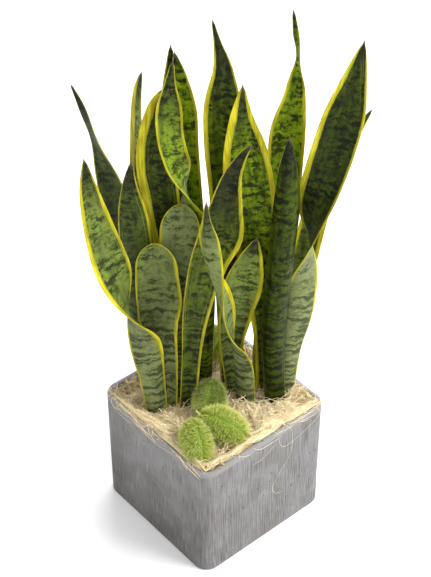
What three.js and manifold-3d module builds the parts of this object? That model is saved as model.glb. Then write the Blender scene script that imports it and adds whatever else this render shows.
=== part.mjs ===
// A snake plant (Dracaena trifasciata 'Laurentii') in a square fibre-clay pot.
//
// The pot is hollow and holds soil. A mat of sisal fibre covers the soil, and four soft
// green seed pods lie on it. Nineteen sword-shaped leaves stand in two clumps, rooted in
// the soil. Units are millimetres and +Z is up. The origin is the middle of the pot's
// underside, and the pot's sides are parallel to X and Y.

import * as THREE from 'three';
import { mergeVertices } from 'three/addons/utils/BufferGeometryUtils.js';
import Module from 'manifold-3d';

const wasm = await Module();
wasm.setup();

// ---- driving dimensions -------------------------------------------------------------

const CLEARANCE = 0.4; // gap between pieces that touch
const WELD = 1e-4; // points closer than this are one point

const POT_SIDE = 220;
const POT_HEIGHT = 190;
const POT_WALL = 9;
const POT_FLOOR = 14;
const POT_CORNER = 22; // plan radius of the outer corners
const INNER_CORNER_MIN = 6;
const RIM_ROUND = 4; // radius over the rim
const FOOT_ROUND = 3; // radius under the outer wall
const CORNER_STEPS = 6; // facets around a pot corner
const PROFILE_STEPS = 3; // facets around the rim and foot

const SOIL_TOP = 150;

const MAT_LEVEL = 178; // sisal level between the leaves
const MAT_BANK = 9; // how much higher it is heaped along the walls
const MAT_BANK_START = 60; // distance from the axis where the bank starts
const MAT_DIP = 12; // how far it sinks in the corner beyond the left clump
const MAT_DIP_SPREAD = 24;
const MAT_DIP_CENTRE = -92; // along both X and Y
const MAT_RIPPLE = 1.5; // height of the small waves
const MAT_RIPPLE_SPREAD = [17, 13]; // their size along X and along Y
const MAT_SIDE_STEPS = 6; // facets along each side of the mat
const MAT_CORNER_STEPS = 3;
const MAT_RINGS = [1, 0.86, 0.7, 0.5, 0.25];

const POD_RADIUS = 20;
const POD_HALF_LENGTH = 32;
const POD_STALK_RADIUS = 1.5;
const POD_STALK_LENGTH = 9;
const POD_STEPS = 9;
const POD_SIDES = 14;

const PLANT_TURN = 50; // degrees from the pot's X side to the row of the two clumps
const LEAF_RINGS = 19;
const LEAF_SPANS = 6; // facets from margin to margin
const LEAF_CROWD = 1.25; // above 1, the rings crowd towards the tip
const LEAF_ROOT_THICKNESS = 4.6;
const LEAF_TIP_THICKNESS = 2;
const LEAF_MARGIN_THINNING = 0.72; // share of the thickness lost at the margin
const LEAF_THINNING_POWER = 1.6; // above 1, the thinning keeps close to the margin
const LEAF_TIP_STOUTNESS = 0.45; // most the thickness may be, as a share of the width
const LEAF_TIP_LEAST = 0.3; // thickness kept where the width runs out
const SLOPE_STEP = 1e-3; // share of the length over which a leaf's direction is measured
const LEAF_UNFOLDED_AT = 0.45; // share of the length over which the root channel opens
const ROUND_TIP_START = 0.82; // where a round-ended leaf begins to close
const ROUND_TIP_LEAST = 0.02; // share of the width left at its very end
const CUTTER_RINGS = 6; // rings of a leaf that reach above the sisal
const SOCKET_GAP = 1; // room round a leaf where it passes through the sisal and soil
const MARGIN_GROWTH = 4; // how much further a socket's sharp margins reach than its faces

// Each leaf follows stations from its root to its tip. A station is
// [side, depth, height, bearing, width]: side and depth lie along and across the row of
// clumps, bearing is the direction in degrees from one margin to the other, turned from
// the side axis towards depth, and width is measured over the curve of the blade. The
// blade is a channel: rootFold and bladeFold are the angles of its arc, in degrees, at
// the root and higher up. Its hollow face is to the left of the bearing.
const LEAVES = [
  {
    name: 'leaf_left_sweeping', rootFold: 110, bladeFold: 45, tip: 'point',
    stations: [
      [-73, -23, 140, 15, 30], [-80, -16, 220, 12, 36], [-85, -18, 270, 8, 42],
      [-92, -24, 320, -20, 46], [-108, -32, 380, -90, 50], [-125, -36, 445, -148, 48],
      [-138, -38, 505, -148, 40], [-147, -40, 565, -150, 24], [-149, -42, 610, -150, 3],
    ],
  },
  {
    name: 'leaf_left_round_short', rootFold: 110, bladeFold: 50, tip: 'round',
    stations: [
      [-61, -14, 140, 180, 24], [-62, -5, 250, 180, 32], [-71, -2, 320, 180, 50],
      [-70, 0, 360, 180, 60], [-72, 2, 410, 180, 56], [-74, 4, 450, 180, 50],
    ],
  },
  {
    name: 'leaf_left_round_tall', rootFold: 110, bladeFold: 50, tip: 'round',
    stations: [
      [-50, -2, 140, 180, 26], [-48, 8, 250, 180, 32], [-46, 10, 335, 180, 42],
      [-44, 14, 405, 180, 50], [-42, 16, 455, 180, 52], [-40, 18, 500, 180, 50],
    ],
  },
  {
    name: 'leaf_left_leaning_in', rootFold: 110, bladeFold: 50, tip: 'point',
    stations: [
      [-37, -18, 140, 180, 26], [-30, -8, 265, 180, 28], [-22, -7, 350, 180, 38],
      [-7, -6, 425, 180, 50], [8, -6, 470, 180, 58], [14, -6, 510, 180, 44],
      [21, -7, 555, 180, 26], [32, -8, 585, 180, 14], [45, -8, 605, 180, 3],
    ],
  },
  {
    name: 'leaf_left_short_outer', rootFold: 110, bladeFold: 50, tip: 'point',
    stations: [
      [-70, 11, 140, 0, 26], [-88, 22, 265, 0, 34], [-94, 22, 350, 0, 42],
      [-98, 22, 425, -5, 44], [-100, 22, 480, -5, 38], [-102, 22, 525, -5, 20],
      [-99, 22, 560, -5, 3],
    ],
  },
  {
    name: 'leaf_left_tall_outer', rootFold: 110, bladeFold: 50, tip: 'point',
    stations: [
      [-88, 31, 140, 150, 26], [-96, 44, 245, 150, 32], [-107, 48, 355, 150, 42],
      [-119, 52, 455, 150, 48], [-130, 54, 520, 145, 42], [-145, 54, 575, 125, 22],
      [-157, 54, 620, 150, 12], [-168, 54, 650, 150, 3],
    ],
  },
  {
    name: 'leaf_left_slim', rootFold: 110, bladeFold: 50, tip: 'point',
    stations: [
      [-66, 43, 140, 150, 26], [-81, 58, 275, 150, 34], [-88, 62, 395, 140, 42],
      [-91, 62, 490, 130, 42], [-92, 60, 565, 120, 36], [-90, 58, 625, 120, 24],
      [-84, 56, 665, 130, 3],
    ],
  },
  {
    name: 'leaf_left_wide_margin', rootFold: 110, bladeFold: 50, tip: 'point',
    stations: [
      [-46, 18, 140, 180, 26], [-53, 30, 300, 180, 36], [-55, 34, 400, 180, 42],
      [-63, 36, 485, 180, 46], [-69, 36, 535, 180, 50], [-69, 36, 585, 180, 44],
      [-65, 34, 630, 180, 26], [-59, 34, 655, 180, 3],
    ],
  },
  {
    name: 'leaf_left_twisted', rootFold: 110, bladeFold: 45, tip: 'point',
    stations: [
      [-15, 31, 140, 0, 26], [-15, 38, 285, 0, 36], [-18, 36, 380, 0, 44],
      [-24, 32, 455, -20, 44], [-33, 28, 515, -90, 38], [-45, 26, 560, -165, 34],
      [-51, 24, 595, -180, 34], [-52, 22, 635, -180, 32], [-50, 22, 670, -180, 14],
      [-46, 22, 700, -180, 3],
    ],
  },
  {
    name: 'leaf_left_rear_tall', rootFold: 110, bladeFold: 50, tip: 'point',
    stations: [
      [-28, 57, 140, 180, 26], [-23, 66, 270, 180, 36], [-30, 66, 390, 180, 44],
      [-35, 66, 485, 180, 44], [-39, 64, 555, 180, 44], [-38, 62, 610, 180, 38],
      [-40, 60, 655, 180, 20], [-45, 58, 690, 180, 3],
    ],
  },
  {
    name: 'leaf_left_rearmost', rootFold: 110, bladeFold: 50, tip: 'point',
    stations: [
      [-44, 75, 140, 180, 26], [-43, 86, 285, 180, 36], [-52, 88, 405, 180, 44],
      [-53, 88, 485, 180, 44], [-52, 88, 560, 180, 38], [-50, 86, 630, 180, 22],
      [-50, 84, 685, 180, 3],
    ],
  },
  {
    name: 'leaf_right_inner_tall', rootFold: 110, bladeFold: 50, tip: 'point',
    stations: [
      [24, 31, 140, 180, 28], [22, 46, 285, 180, 38], [21, 50, 405, 180, 46],
      [19, 50, 490, 180, 50], [13, 50, 565, 180, 50], [11, 48, 625, 180, 46],
      [11, 46, 675, 180, 24], [5, 44, 710, 170, 10], [-1, 44, 740, 160, 3],
    ],
  },
  {
    name: 'leaf_right_broad', rootFold: 110, bladeFold: 60, tip: 'point',
    stations: [
      [70, 24, 140, 180, 26], [69, 33, 265, 180, 34], [61, 29, 360, 180, 48],
      [52, 25, 455, 180, 62], [43, 25, 525, 180, 64], [38, 26, 575, 180, 54],
      [33, 26, 620, 180, 30], [34, 26, 665, 180, 3],
    ],
  },
  {
    name: 'leaf_right_rear_needle', rootFold: 110, bladeFold: 50, tip: 'point',
    stations: [
      [63, 38, 140, 180, 26], [70, 45, 275, 180, 34], [85, 61, 410, 180, 46],
      [88, 66, 500, 180, 48], [91, 66, 575, 180, 46], [98, 66, 630, 180, 26],
      [100, 66, 675, 120, 10], [96, 66, 710, 160, 8], [92, 66, 740, 180, 3],
    ],
  },
  {
    name: 'leaf_right_tall_outer', rootFold: 110, bladeFold: 45, tip: 'point',
    stations: [
      [96, 12, 140, 10, 30], [101, 20, 240, 10, 36], [111, 20, 310, 12, 44],
      [117, 20, 375, 30, 46], [120, 18, 430, 80, 48], [122, 16, 485, 130, 50],
      [132, 14, 535, 160, 52], [143, 14, 585, 175, 54], [153, 14, 635, 180, 50],
      [162, 14, 685, 180, 28], [170, 14, 730, 180, 3],
    ],
  },
  {
    name: 'leaf_right_rearmost', rootFold: 110, bladeFold: 50, tip: 'point',
    stations: [
      [86, 33, 140, 180, 22], [91, 41, 205, 180, 24], [106, 64, 290, 180, 30],
      [118, 69, 365, 180, 36], [128, 68, 430, 180, 36], [138, 65, 480, 180, 34],
      [150, 64, 520, 180, 30], [164, 62, 555, 180, 22], [178, 60, 585, 180, 12],
      [191, 58, 610, 180, 3],
    ],
  },
  {
    name: 'leaf_right_rolled', rootFold: 150, bladeFold: 190, tip: 'point',
    stations: [
      [86, -5, 140, 0, 32], [79, 5, 265, 0, 44], [80, 1, 355, 0, 52],
      [86, -1, 450, 0, 52], [89, 0, 510, 0, 52], [89, 0, 565, 0, 34], [89, 0, 610, 0, 3],
    ],
  },
  {
    name: 'leaf_right_crossing', rootFold: 130, bladeFold: 80, tip: 'point',
    stations: [
      [42, -1, 140, -30, 32], [39, 2, 225, -35, 38], [32, -6, 280, -60, 42],
      [22, -18, 330, -98, 46], [11, -32, 390, -98, 48], [-1, -40, 440, -60, 42],
      [-7, -43, 490, -28, 30], [-9, -45, 520, -10, 12], [-9, -46, 550, 0, 3],
    ],
  },
  {
    name: 'leaf_right_short', rootFold: 110, bladeFold: 50, tip: 'point',
    stations: [
      [34, 13, 140, 180, 24], [24, 18, 255, 180, 32], [29, 14, 325, 180, 46],
      [37, 10, 375, 180, 52], [46, 8, 420, 180, 34], [54, 8, 455, 180, 3],
    ],
  },
];

// Each pod lies with its middle at `centre` and its stalk end towards `axis`, both given
// along the row of clumps, across it and up.
const PODS = [
  { name: 'seed_pod_rear', centre: [-3, 98, 193], axis: [0.5, 0.2, 0.85] },
  { name: 'seed_pod_upright', centre: [-3, -23, 200], axis: [0.05, 0.35, 0.95] },
  { name: 'seed_pod_right', centre: [12, -68, 201], axis: [-0.87, 0.48, 0.12] },
  { name: 'seed_pod_left', centre: [-24, -95, 198], axis: [-0.24, 0.85, 0.45] },
];

const POT_FINISH = { color: 0x8d8c8e, roughness: 0.75, metalness: 0 };
const SOIL_FINISH = { color: 0x3b2a1e, roughness: 0.95, metalness: 0 };
const SISAL_FINISH = { color: 0xd9c7a0, roughness: 0.9, metalness: 0 };
const POD_FINISH = { color: 0x8fae45, roughness: 0.85, metalness: 0 };
const LEAF_FINISH = { color: 0x54712f, roughness: 0.4, metalness: 0 };

// ---- small helpers ------------------------------------------------------------------

const radians = THREE.MathUtils.degToRad;

function finish(look) {
  return new THREE.MeshStandardMaterial({ ...look, side: THREE.FrontSide });
}

// Direction or place given along the row of clumps, across it and up, in the pot's axes.
function fromPlant([side, depth, height]) {
  return new THREE.Vector3(side, depth, height)
    .applyAxisAngle(new THREE.Vector3(0, 0, 1), radians(PLANT_TURN));
}

function geometryFrom(points, triangles) {
  const geometry = new THREE.BufferGeometry();
  const flat = points.flatMap((point) => point.toArray());
  geometry.setAttribute('position', new THREE.Float32BufferAttribute(flat, 3));
  geometry.setIndex(triangles.flat());
  return geometry;
}

function toSolid(geometry) {
  const bare = geometry.clone();
  bare.deleteAttribute('normal');
  bare.deleteAttribute('uv');
  const merged = mergeVertices(bare, WELD);
  return new wasm.Manifold(new wasm.Mesh({
    numProp: 3,
    vertProperties: new Float32Array(merged.attributes.position.array),
    triVerts: new Uint32Array(merged.index.array),
  }));
}

function toGeometry(solid) {
  const mesh = solid.getMesh();
  const geometry = new THREE.BufferGeometry();
  const positions = new Float32Array(mesh.vertProperties);
  geometry.setAttribute('position', new THREE.BufferAttribute(positions, 3));
  geometry.setIndex(new THREE.BufferAttribute(new Uint32Array(mesh.triVerts), 1));
  return geometry;
}

function cutBy(geometry, cutters) {
  const whole = toSolid(geometry);
  return toGeometry(cutters.reduce((rest, cutter) => rest.subtract(toSolid(cutter)), whole));
}

// ---- pot, soil and sisal mat --------------------------------------------------------

// Points around a square with round corners, anticlockwise seen from above.
function squareRing(half, radius, cornerSteps, sideSteps, heightAt) {
  const points = [];
  const reach = half - radius;
  for (let corner = 0; corner < 4; corner += 1) {
    const turn = corner * Math.PI / 2;
    for (let step = 0; step <= cornerSteps; step += 1) {
      const angle = (step / cornerSteps) * Math.PI / 2;
      const x = reach + radius * Math.cos(angle);
      const y = reach + radius * Math.sin(angle);
      points.push(new THREE.Vector3(x, y, 0).applyAxisAngle(new THREE.Vector3(0, 0, 1), turn));
    }
    for (let step = 1; step < sideSteps; step += 1) {
      const along = reach - (2 * reach * step) / sideSteps;
      points.push(new THREE.Vector3(along, half, 0).applyAxisAngle(new THREE.Vector3(0, 0, 1), turn));
    }
  }
  points.forEach((point) => point.setZ(heightAt(point.x, point.y)));
  return points;
}

// Joins rings of equal length into one closed solid, with a fan over each end.
function loft(rings) {
  const count = rings[0].length;
  const points = rings.flat();
  const triangles = [];
  for (let ring = 0; ring + 1 < rings.length; ring += 1) {
    for (let step = 0; step < count; step += 1) {
      const a = ring * count + step;
      const b = ring * count + ((step + 1) % count);
      triangles.push([a, b, b + count], [a, b + count, a + count]);
    }
  }
  const first = points.length;
  points.push(middleOf(rings[0]), middleOf(rings[rings.length - 1]));
  const lastRing = (rings.length - 1) * count;
  for (let step = 0; step < count; step += 1) {
    const next = (step + 1) % count;
    triangles.push([first, next, step], [first + 1, lastRing + step, lastRing + next]);
  }
  return geometryFrom(points, triangles);
}

function middleOf(ring) {
  const sum = ring.reduce((total, point) => total.add(point), new THREE.Vector3());
  return sum.divideScalar(ring.length);
}

function potRing(inset, height) {
  const radius = Math.max(POT_CORNER - inset, INNER_CORNER_MIN);
  return squareRing(POT_SIDE / 2 - inset, radius, CORNER_STEPS, 1, () => height);
}

function quarterRound(steps, place) {
  return Array.from({ length: steps + 1 }, (_, step) => place((step / steps) * Math.PI / 2));
}

function potGeometry() {
  const foot = quarterRound(PROFILE_STEPS, (angle) => potRing(
    FOOT_ROUND * (1 - Math.sin(angle)),
    FOOT_ROUND * (1 - Math.cos(angle)),
  ));
  const outerRim = quarterRound(PROFILE_STEPS, (angle) => potRing(
    RIM_ROUND * (1 - Math.cos(angle)),
    POT_HEIGHT - RIM_ROUND * (1 - Math.sin(angle)),
  ));
  const innerRim = quarterRound(PROFILE_STEPS, (angle) => potRing(
    POT_WALL - RIM_ROUND * (1 - Math.sin(angle)),
    POT_HEIGHT - RIM_ROUND * (1 - Math.cos(angle)),
  ));
  return loft([...foot, ...outerRim, ...innerRim, potRing(POT_WALL, POT_FLOOR)]);
}

function soilGeometry() {
  const inset = POT_WALL + CLEARANCE;
  return loft([potRing(inset, POT_FLOOR + CLEARANCE), potRing(inset, SOIL_TOP)]);
}

// Height of the sisal: level round the leaves, banked along the walls, low in one corner.
function matHeight(x, y) {
  const out = Math.max(Math.abs(x), Math.abs(y));
  const bank = THREE.MathUtils.smoothstep(out, MAT_BANK_START, POT_SIDE / 2 - POT_WALL);
  const gap = Math.hypot(x - MAT_DIP_CENTRE, y - MAT_DIP_CENTRE);
  const dip = Math.exp(-(gap ** 2) / (2 * MAT_DIP_SPREAD ** 2));
  const ripple = MAT_RIPPLE * Math.sin(x / MAT_RIPPLE_SPREAD[0] + 1)
    * Math.cos(y / MAT_RIPPLE_SPREAD[1]);
  return MAT_LEVEL + MAT_BANK * bank - MAT_DIP * dip + ripple;
}

function matGeometry() {
  const half = POT_SIDE / 2 - POT_WALL - CLEARANCE;
  const radius = POT_CORNER - POT_WALL - CLEARANCE;
  const ringOf = (scale, heightAt) => squareRing(
    half * scale,
    radius * scale,
    MAT_CORNER_STEPS,
    MAT_SIDE_STEPS,
    heightAt,
  );
  const underside = ringOf(1, () => SOIL_TOP + CLEARANCE);
  return loft([underside, ...MAT_RINGS.map((scale) => ringOf(scale, matHeight))]);
}

// ---- seed pods ----------------------------------------------------------------------

// An egg-shaped pod on its own +Y axis, with a short stalk at the top.
function podGeometry(grow) {
  const profile = [];
  for (let step = 0; step < POD_STEPS; step += 1) {
    const angle = -Math.PI / 2 + (step / POD_STEPS) * Math.PI;
    const radius = step === 0 ? 0 : (POD_RADIUS + grow) * Math.cos(angle);
    profile.push(new THREE.Vector2(radius, (POD_HALF_LENGTH + grow) * Math.sin(angle)));
  }
  const stalk = POD_STALK_RADIUS + grow;
  profile.push(new THREE.Vector2(stalk, POD_HALF_LENGTH - POD_STALK_RADIUS));
  profile.push(new THREE.Vector2(stalk, POD_HALF_LENGTH + POD_STALK_LENGTH + grow));
  profile.push(new THREE.Vector2(0, POD_HALF_LENGTH + POD_STALK_LENGTH + grow));
  return new THREE.LatheGeometry(profile, POD_SIDES);
}

function closed(geometry) {
  return toGeometry(toSolid(geometry));
}

function podMesh(pod) {
  const mesh = new THREE.Mesh(closed(podGeometry(0)), finish(POD_FINISH));
  mesh.name = pod.name;
  mesh.position.copy(fromPlant(pod.centre));
  mesh.quaternion.setFromUnitVectors(new THREE.Vector3(0, 1, 0), fromPlant(pod.axis).normalize());
  mesh.updateMatrix();
  return mesh;
}

// ---- leaves -------------------------------------------------------------------------

// Smooth curve through rows of numbers, at a share from 0 to 1 of the way along them.
function smoothRow(rows, share) {
  const last = rows.length - 1;
  const at = THREE.MathUtils.clamp(share, 0, 1) * last;
  const index = Math.min(Math.floor(at), last - 1);
  const t = at - index;
  const here = rows[index];
  const next = rows[index + 1];
  return here.map((value, column) => {
    const before = index > 0 ? rows[index - 1][column] : 2 * value - next[column];
    const after = index + 2 <= last ? rows[index + 2][column] : 2 * next[column] - value;
    const slope = next[column] - before;
    const bend = 2 * before - 5 * value + 4 * next[column] - after;
    const twist = 3 * value - before - 3 * next[column] + after;
    return value + 0.5 * (slope * t + bend * t ** 2 + twist * t ** 3);
  });
}

// Where the blade is at a share of its length: its place, directions, width, fold and thickness.
function bladeFrame(leaf, share) {
  const row = smoothRow(leaf.stations, share);
  const ahead = smoothRow(leaf.stations, share + SLOPE_STEP);
  const behind = smoothRow(leaf.stations, share - SLOPE_STEP);
  const centre = fromPlant(row.slice(0, 3));
  const along = fromPlant(ahead.slice(0, 3)).sub(fromPlant(behind.slice(0, 3))).normalize();
  const bearing = radians(row[3]);
  const across = fromPlant([Math.cos(bearing), Math.sin(bearing), 0]);
  across.addScaledVector(along, -across.dot(along)).normalize();
  const hollow = along.clone().cross(across);
  let width = Math.max(row[4], 1);
  if (leaf.tip === 'round') {
    const end = Math.max((share - ROUND_TIP_START) / (1 - ROUND_TIP_START), 0);
    width *= Math.sqrt(Math.max(1 - end ** 2, ROUND_TIP_LEAST ** 2));
  }
  const opened = THREE.MathUtils.smoothstep(share, 0, LEAF_UNFOLDED_AT);
  const fold = radians(THREE.MathUtils.lerp(leaf.rootFold, leaf.bladeFold, opened));
  const thickness = THREE.MathUtils.lerp(LEAF_ROOT_THICKNESS, LEAF_TIP_THICKNESS, share);
  return { centre, along, across, hollow, width, fold, thickness };
}

// One ring of the blade: along the hollow face from margin to margin, and back outside it.
function bladeRing(frame, grow) {
  const radius = frame.width / frame.fold;
  const sag = 0.5 * radius * (1 - Math.cos(frame.fold / 2));
  const pointAt = (t, side) => {
    const angle = (frame.fold * t) / 2;
    const thin = 1 - LEAF_MARGIN_THINNING * Math.abs(t) ** LEAF_THINNING_POWER;
    const most = LEAF_TIP_STOUTNESS * frame.width + LEAF_TIP_LEAST;
    const half = Math.abs(t) === 1 ? 0 : Math.min(frame.thickness * thin, most) / 2;
    const spread = Math.abs(t) === 1 ? MARGIN_GROWTH * grow * Math.sign(t) : 0;
    const tangent = frame.across.clone().multiplyScalar(Math.cos(angle))
      .addScaledVector(frame.hollow, Math.sin(angle));
    const normal = frame.hollow.clone().multiplyScalar(Math.cos(angle))
      .addScaledVector(frame.across, -Math.sin(angle));
    return frame.centre.clone()
      .addScaledVector(frame.across, radius * Math.sin(angle))
      .addScaledVector(frame.hollow, radius * (1 - Math.cos(angle)) - sag)
      .addScaledVector(normal, side * (half + (half > 0 ? grow : 0)))
      .addScaledVector(tangent, spread);
  };
  const ring = [];
  for (let step = 0; step <= LEAF_SPANS; step += 1) {
    ring.push(pointAt(-1 + (2 * step) / LEAF_SPANS, 1));
  }
  for (let step = LEAF_SPANS - 1; step > 0; step -= 1) {
    ring.push(pointAt(-1 + (2 * step) / LEAF_SPANS, -1));
  }
  return ring;
}

// Closes one end of the blade with strips between its two faces.
function endStrips(start, facingBack) {
  const count = 2 * LEAF_SPANS;
  const strips = [];
  for (let step = 0; step < LEAF_SPANS; step += 1) {
    const a = start + step;
    const b = start + step + 1;
    const c = start + ((count - step - 1) % count);
    const d = start + ((count - step) % count);
    if (step > 0) strips.push([a, c, d]);
    if (step < LEAF_SPANS - 1) strips.push([a, b, c]);
  }
  return facingBack ? strips : strips.map(([a, b, c]) => [a, c, b]);
}

function leafGeometry(leaf, grow, ringCount) {
  const count = 2 * LEAF_SPANS;
  const rings = [];
  for (let index = 0; index < ringCount; index += 1) {
    const share = 1 - (1 - index / (LEAF_RINGS - 1)) ** LEAF_CROWD;
    const frame = bladeFrame(leaf, share);
    if (index === 0) frame.centre.addScaledVector(frame.along, -grow);
    rings.push(bladeRing(frame, grow));
  }
  const triangles = [];
  for (let ring = 0; ring + 1 < ringCount; ring += 1) {
    for (let step = 0; step < count; step += 1) {
      const a = ring * count + step;
      const b = ring * count + ((step + 1) % count);
      // Both faces are split along the same diagonal, so they can't cross where the blade twists.
      if (step < LEAF_SPANS) triangles.push([a, a + count, b + count], [a, b + count, b]);
      else triangles.push([a, a + count, b], [a + count, b + count, b]);
    }
  }
  triangles.push(...endStrips(0, true), ...endStrips((ringCount - 1) * count, false));
  return geometryFrom(rings.flat(), triangles);
}

// ---- the whole object ---------------------------------------------------------------

const plant = new THREE.Group();

function add(name, geometry, look) {
  const mesh = new THREE.Mesh(geometry, finish(look));
  mesh.name = name;
  plant.add(mesh);
}

const leafCutters = LEAVES.map((leaf) => leafGeometry(leaf, SOCKET_GAP, CUTTER_RINGS));
const podMeshes = PODS.map(podMesh);
const podCutters = podMeshes.map((mesh) => podGeometry(CLEARANCE).applyMatrix4(mesh.matrix));

add('pot', potGeometry(), POT_FINISH);
add('soil', cutBy(soilGeometry(), leafCutters), SOIL_FINISH);
add('sisal_mat', cutBy(matGeometry(), [...leafCutters, ...podCutters]), SISAL_FINISH);
podMeshes.forEach((mesh) => plant.add(mesh));
LEAVES.forEach((leaf) => add(leaf.name, leafGeometry(leaf, 0, LEAF_RINGS), LEAF_FINISH));

export default plant;
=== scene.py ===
"""Finished model of a potted snake plant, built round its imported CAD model.

A square fibre-clay pot holds soil, a mat of sisal fibre, four bristly seed pods and two
clumps of variegated leaves. Shapes are worked out in millimetres and become metres when
a mesh is made. The plant's own axes are "side", along the row of the two clumps, "depth",
across that row, and height.
"""

import logging
import math
from collections.abc import Mapping
from dataclasses import dataclass, field
from enum import Enum

import bpy
import numpy as np
from mathutils import Matrix, Vector


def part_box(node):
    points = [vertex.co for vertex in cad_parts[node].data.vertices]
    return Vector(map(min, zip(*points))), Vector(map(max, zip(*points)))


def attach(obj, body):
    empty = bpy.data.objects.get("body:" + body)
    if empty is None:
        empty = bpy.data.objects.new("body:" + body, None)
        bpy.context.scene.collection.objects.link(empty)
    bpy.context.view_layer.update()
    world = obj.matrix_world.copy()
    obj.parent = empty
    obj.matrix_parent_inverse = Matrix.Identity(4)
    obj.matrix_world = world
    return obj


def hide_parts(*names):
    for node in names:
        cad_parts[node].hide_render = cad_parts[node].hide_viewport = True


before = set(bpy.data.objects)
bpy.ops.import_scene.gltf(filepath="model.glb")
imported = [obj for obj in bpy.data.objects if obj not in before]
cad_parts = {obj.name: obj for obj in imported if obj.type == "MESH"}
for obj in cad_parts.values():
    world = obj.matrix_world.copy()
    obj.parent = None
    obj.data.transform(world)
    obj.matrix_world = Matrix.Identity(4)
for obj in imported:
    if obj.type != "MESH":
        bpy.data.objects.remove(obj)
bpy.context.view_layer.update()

MM = 0.001
PLANT_TURN = 50.0  # degrees from the pot's X side to the row of the two clumps
UP = np.array([0.0, 0.0, 1.0])

Array = np.ndarray
Colour = tuple[float, float, float]

logging.basicConfig(level=logging.INFO, format="%(message)s")
log = logging.getLogger("snake_plant")


# ---- numbers and curves ---------------------------------------------------------------


def ease(share: Array) -> Array:
    """Smooth step from 0 to 1, clamped at both ends."""
    share = np.clip(share, 0.0, 1.0)
    return share * share * (3.0 - 2.0 * share)


def unit(vectors: Array) -> Array:
    """Vectors scaled to length one, along the last axis."""
    return vectors / np.maximum(np.linalg.norm(vectors, axis=-1, keepdims=True), 1e-12)


def dot(first: Array, second: Array) -> Array:
    """Dot product along the last axis, which is kept."""
    return np.sum(first * second, axis=-1, keepdims=True)


def from_plant(points: Array) -> Array:
    """Places or directions given as side, depth and height, in the pot's axes.

    Args:
        points: Side, depth and height, along the last axis.

    Returns:
        X, Y and Z, in the same shape.
    """
    turn = math.radians(PLANT_TURN)
    side, depth, height = points[..., 0], points[..., 1], points[..., 2]
    x = side * math.cos(turn) - depth * math.sin(turn)
    y = side * math.sin(turn) + depth * math.cos(turn)
    return np.stack([x, y, height], axis=-1)


def smooth_rows(rows: Array, share: Array) -> Array:
    """Smooth curve through rows of numbers.

    Args:
        rows: The rows, spaced evenly along the curve.
        share: Places from 0 at the first row to 1 at the last.

    Returns:
        One row for each place.
    """
    last = len(rows) - 1
    padded = np.vstack([2 * rows[0] - rows[1], rows, 2 * rows[-1] - rows[-2]])
    at = np.clip(share, 0.0, 1.0) * last
    index = np.minimum(at.astype(int), last - 1)
    t = (at - index)[:, None]
    before, here, after, beyond = (padded[index + step] for step in range(4))
    bend = 2 * before - 5 * here + 4 * after - beyond
    twist = 3 * here - before - 3 * after + beyond
    return here + 0.5 * ((after - before) * t + bend * t**2 + twist * t**3)


@dataclass(frozen=True)
class Drift:
    """Smooth random numbers between -1 and 1 over a plane of unit cells.

    Args:
        seed: Which of the random planes this is.
        repeat: Cells after which the plane repeats.
    """

    seed: int
    repeat: int = 64

    def at(self, u: Array, v: Array) -> Array:
        """Values at places on the plane.

        Args:
            u: First coordinate, in cells.
            v: Second coordinate, in cells.

        Returns:
            One value for each place.
        """
        table = np.random.default_rng(self.seed).uniform(-1, 1, (self.repeat, self.repeat))
        u, v = np.broadcast_arrays(np.asarray(u, float), np.asarray(v, float))
        column, row = np.floor(u).astype(int), np.floor(v).astype(int)
        s, t = ease(u - column), ease(v - row)
        near = [[table[(column + i) % self.repeat, (row + j) % self.repeat] for j in (0, 1)]
                for i in (0, 1)]
        left = near[0][0] * (1 - t) + near[0][1] * t
        right = near[1][0] * (1 - t) + near[1][1] * t
        return left * (1 - s) + right * s


# ---- meshes ---------------------------------------------------------------------------


def strip_faces(rows: int, columns: int, closed: bool) -> Array:
    """Quads that join each row of points to the next.

    Args:
        rows: Number of rows.
        columns: Points in each row.
        closed: Whether the last column joins the first.

    Returns:
        Four point numbers for each quad.
    """
    spans = columns if closed else columns - 1
    row, column = np.meshgrid(np.arange(rows - 1), np.arange(spans), indexing="ij")
    a = row * columns + column
    b = row * columns + (column + 1) % columns
    return np.stack([a, b, b + columns, a + columns], axis=-1).reshape(-1, 4)


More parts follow.
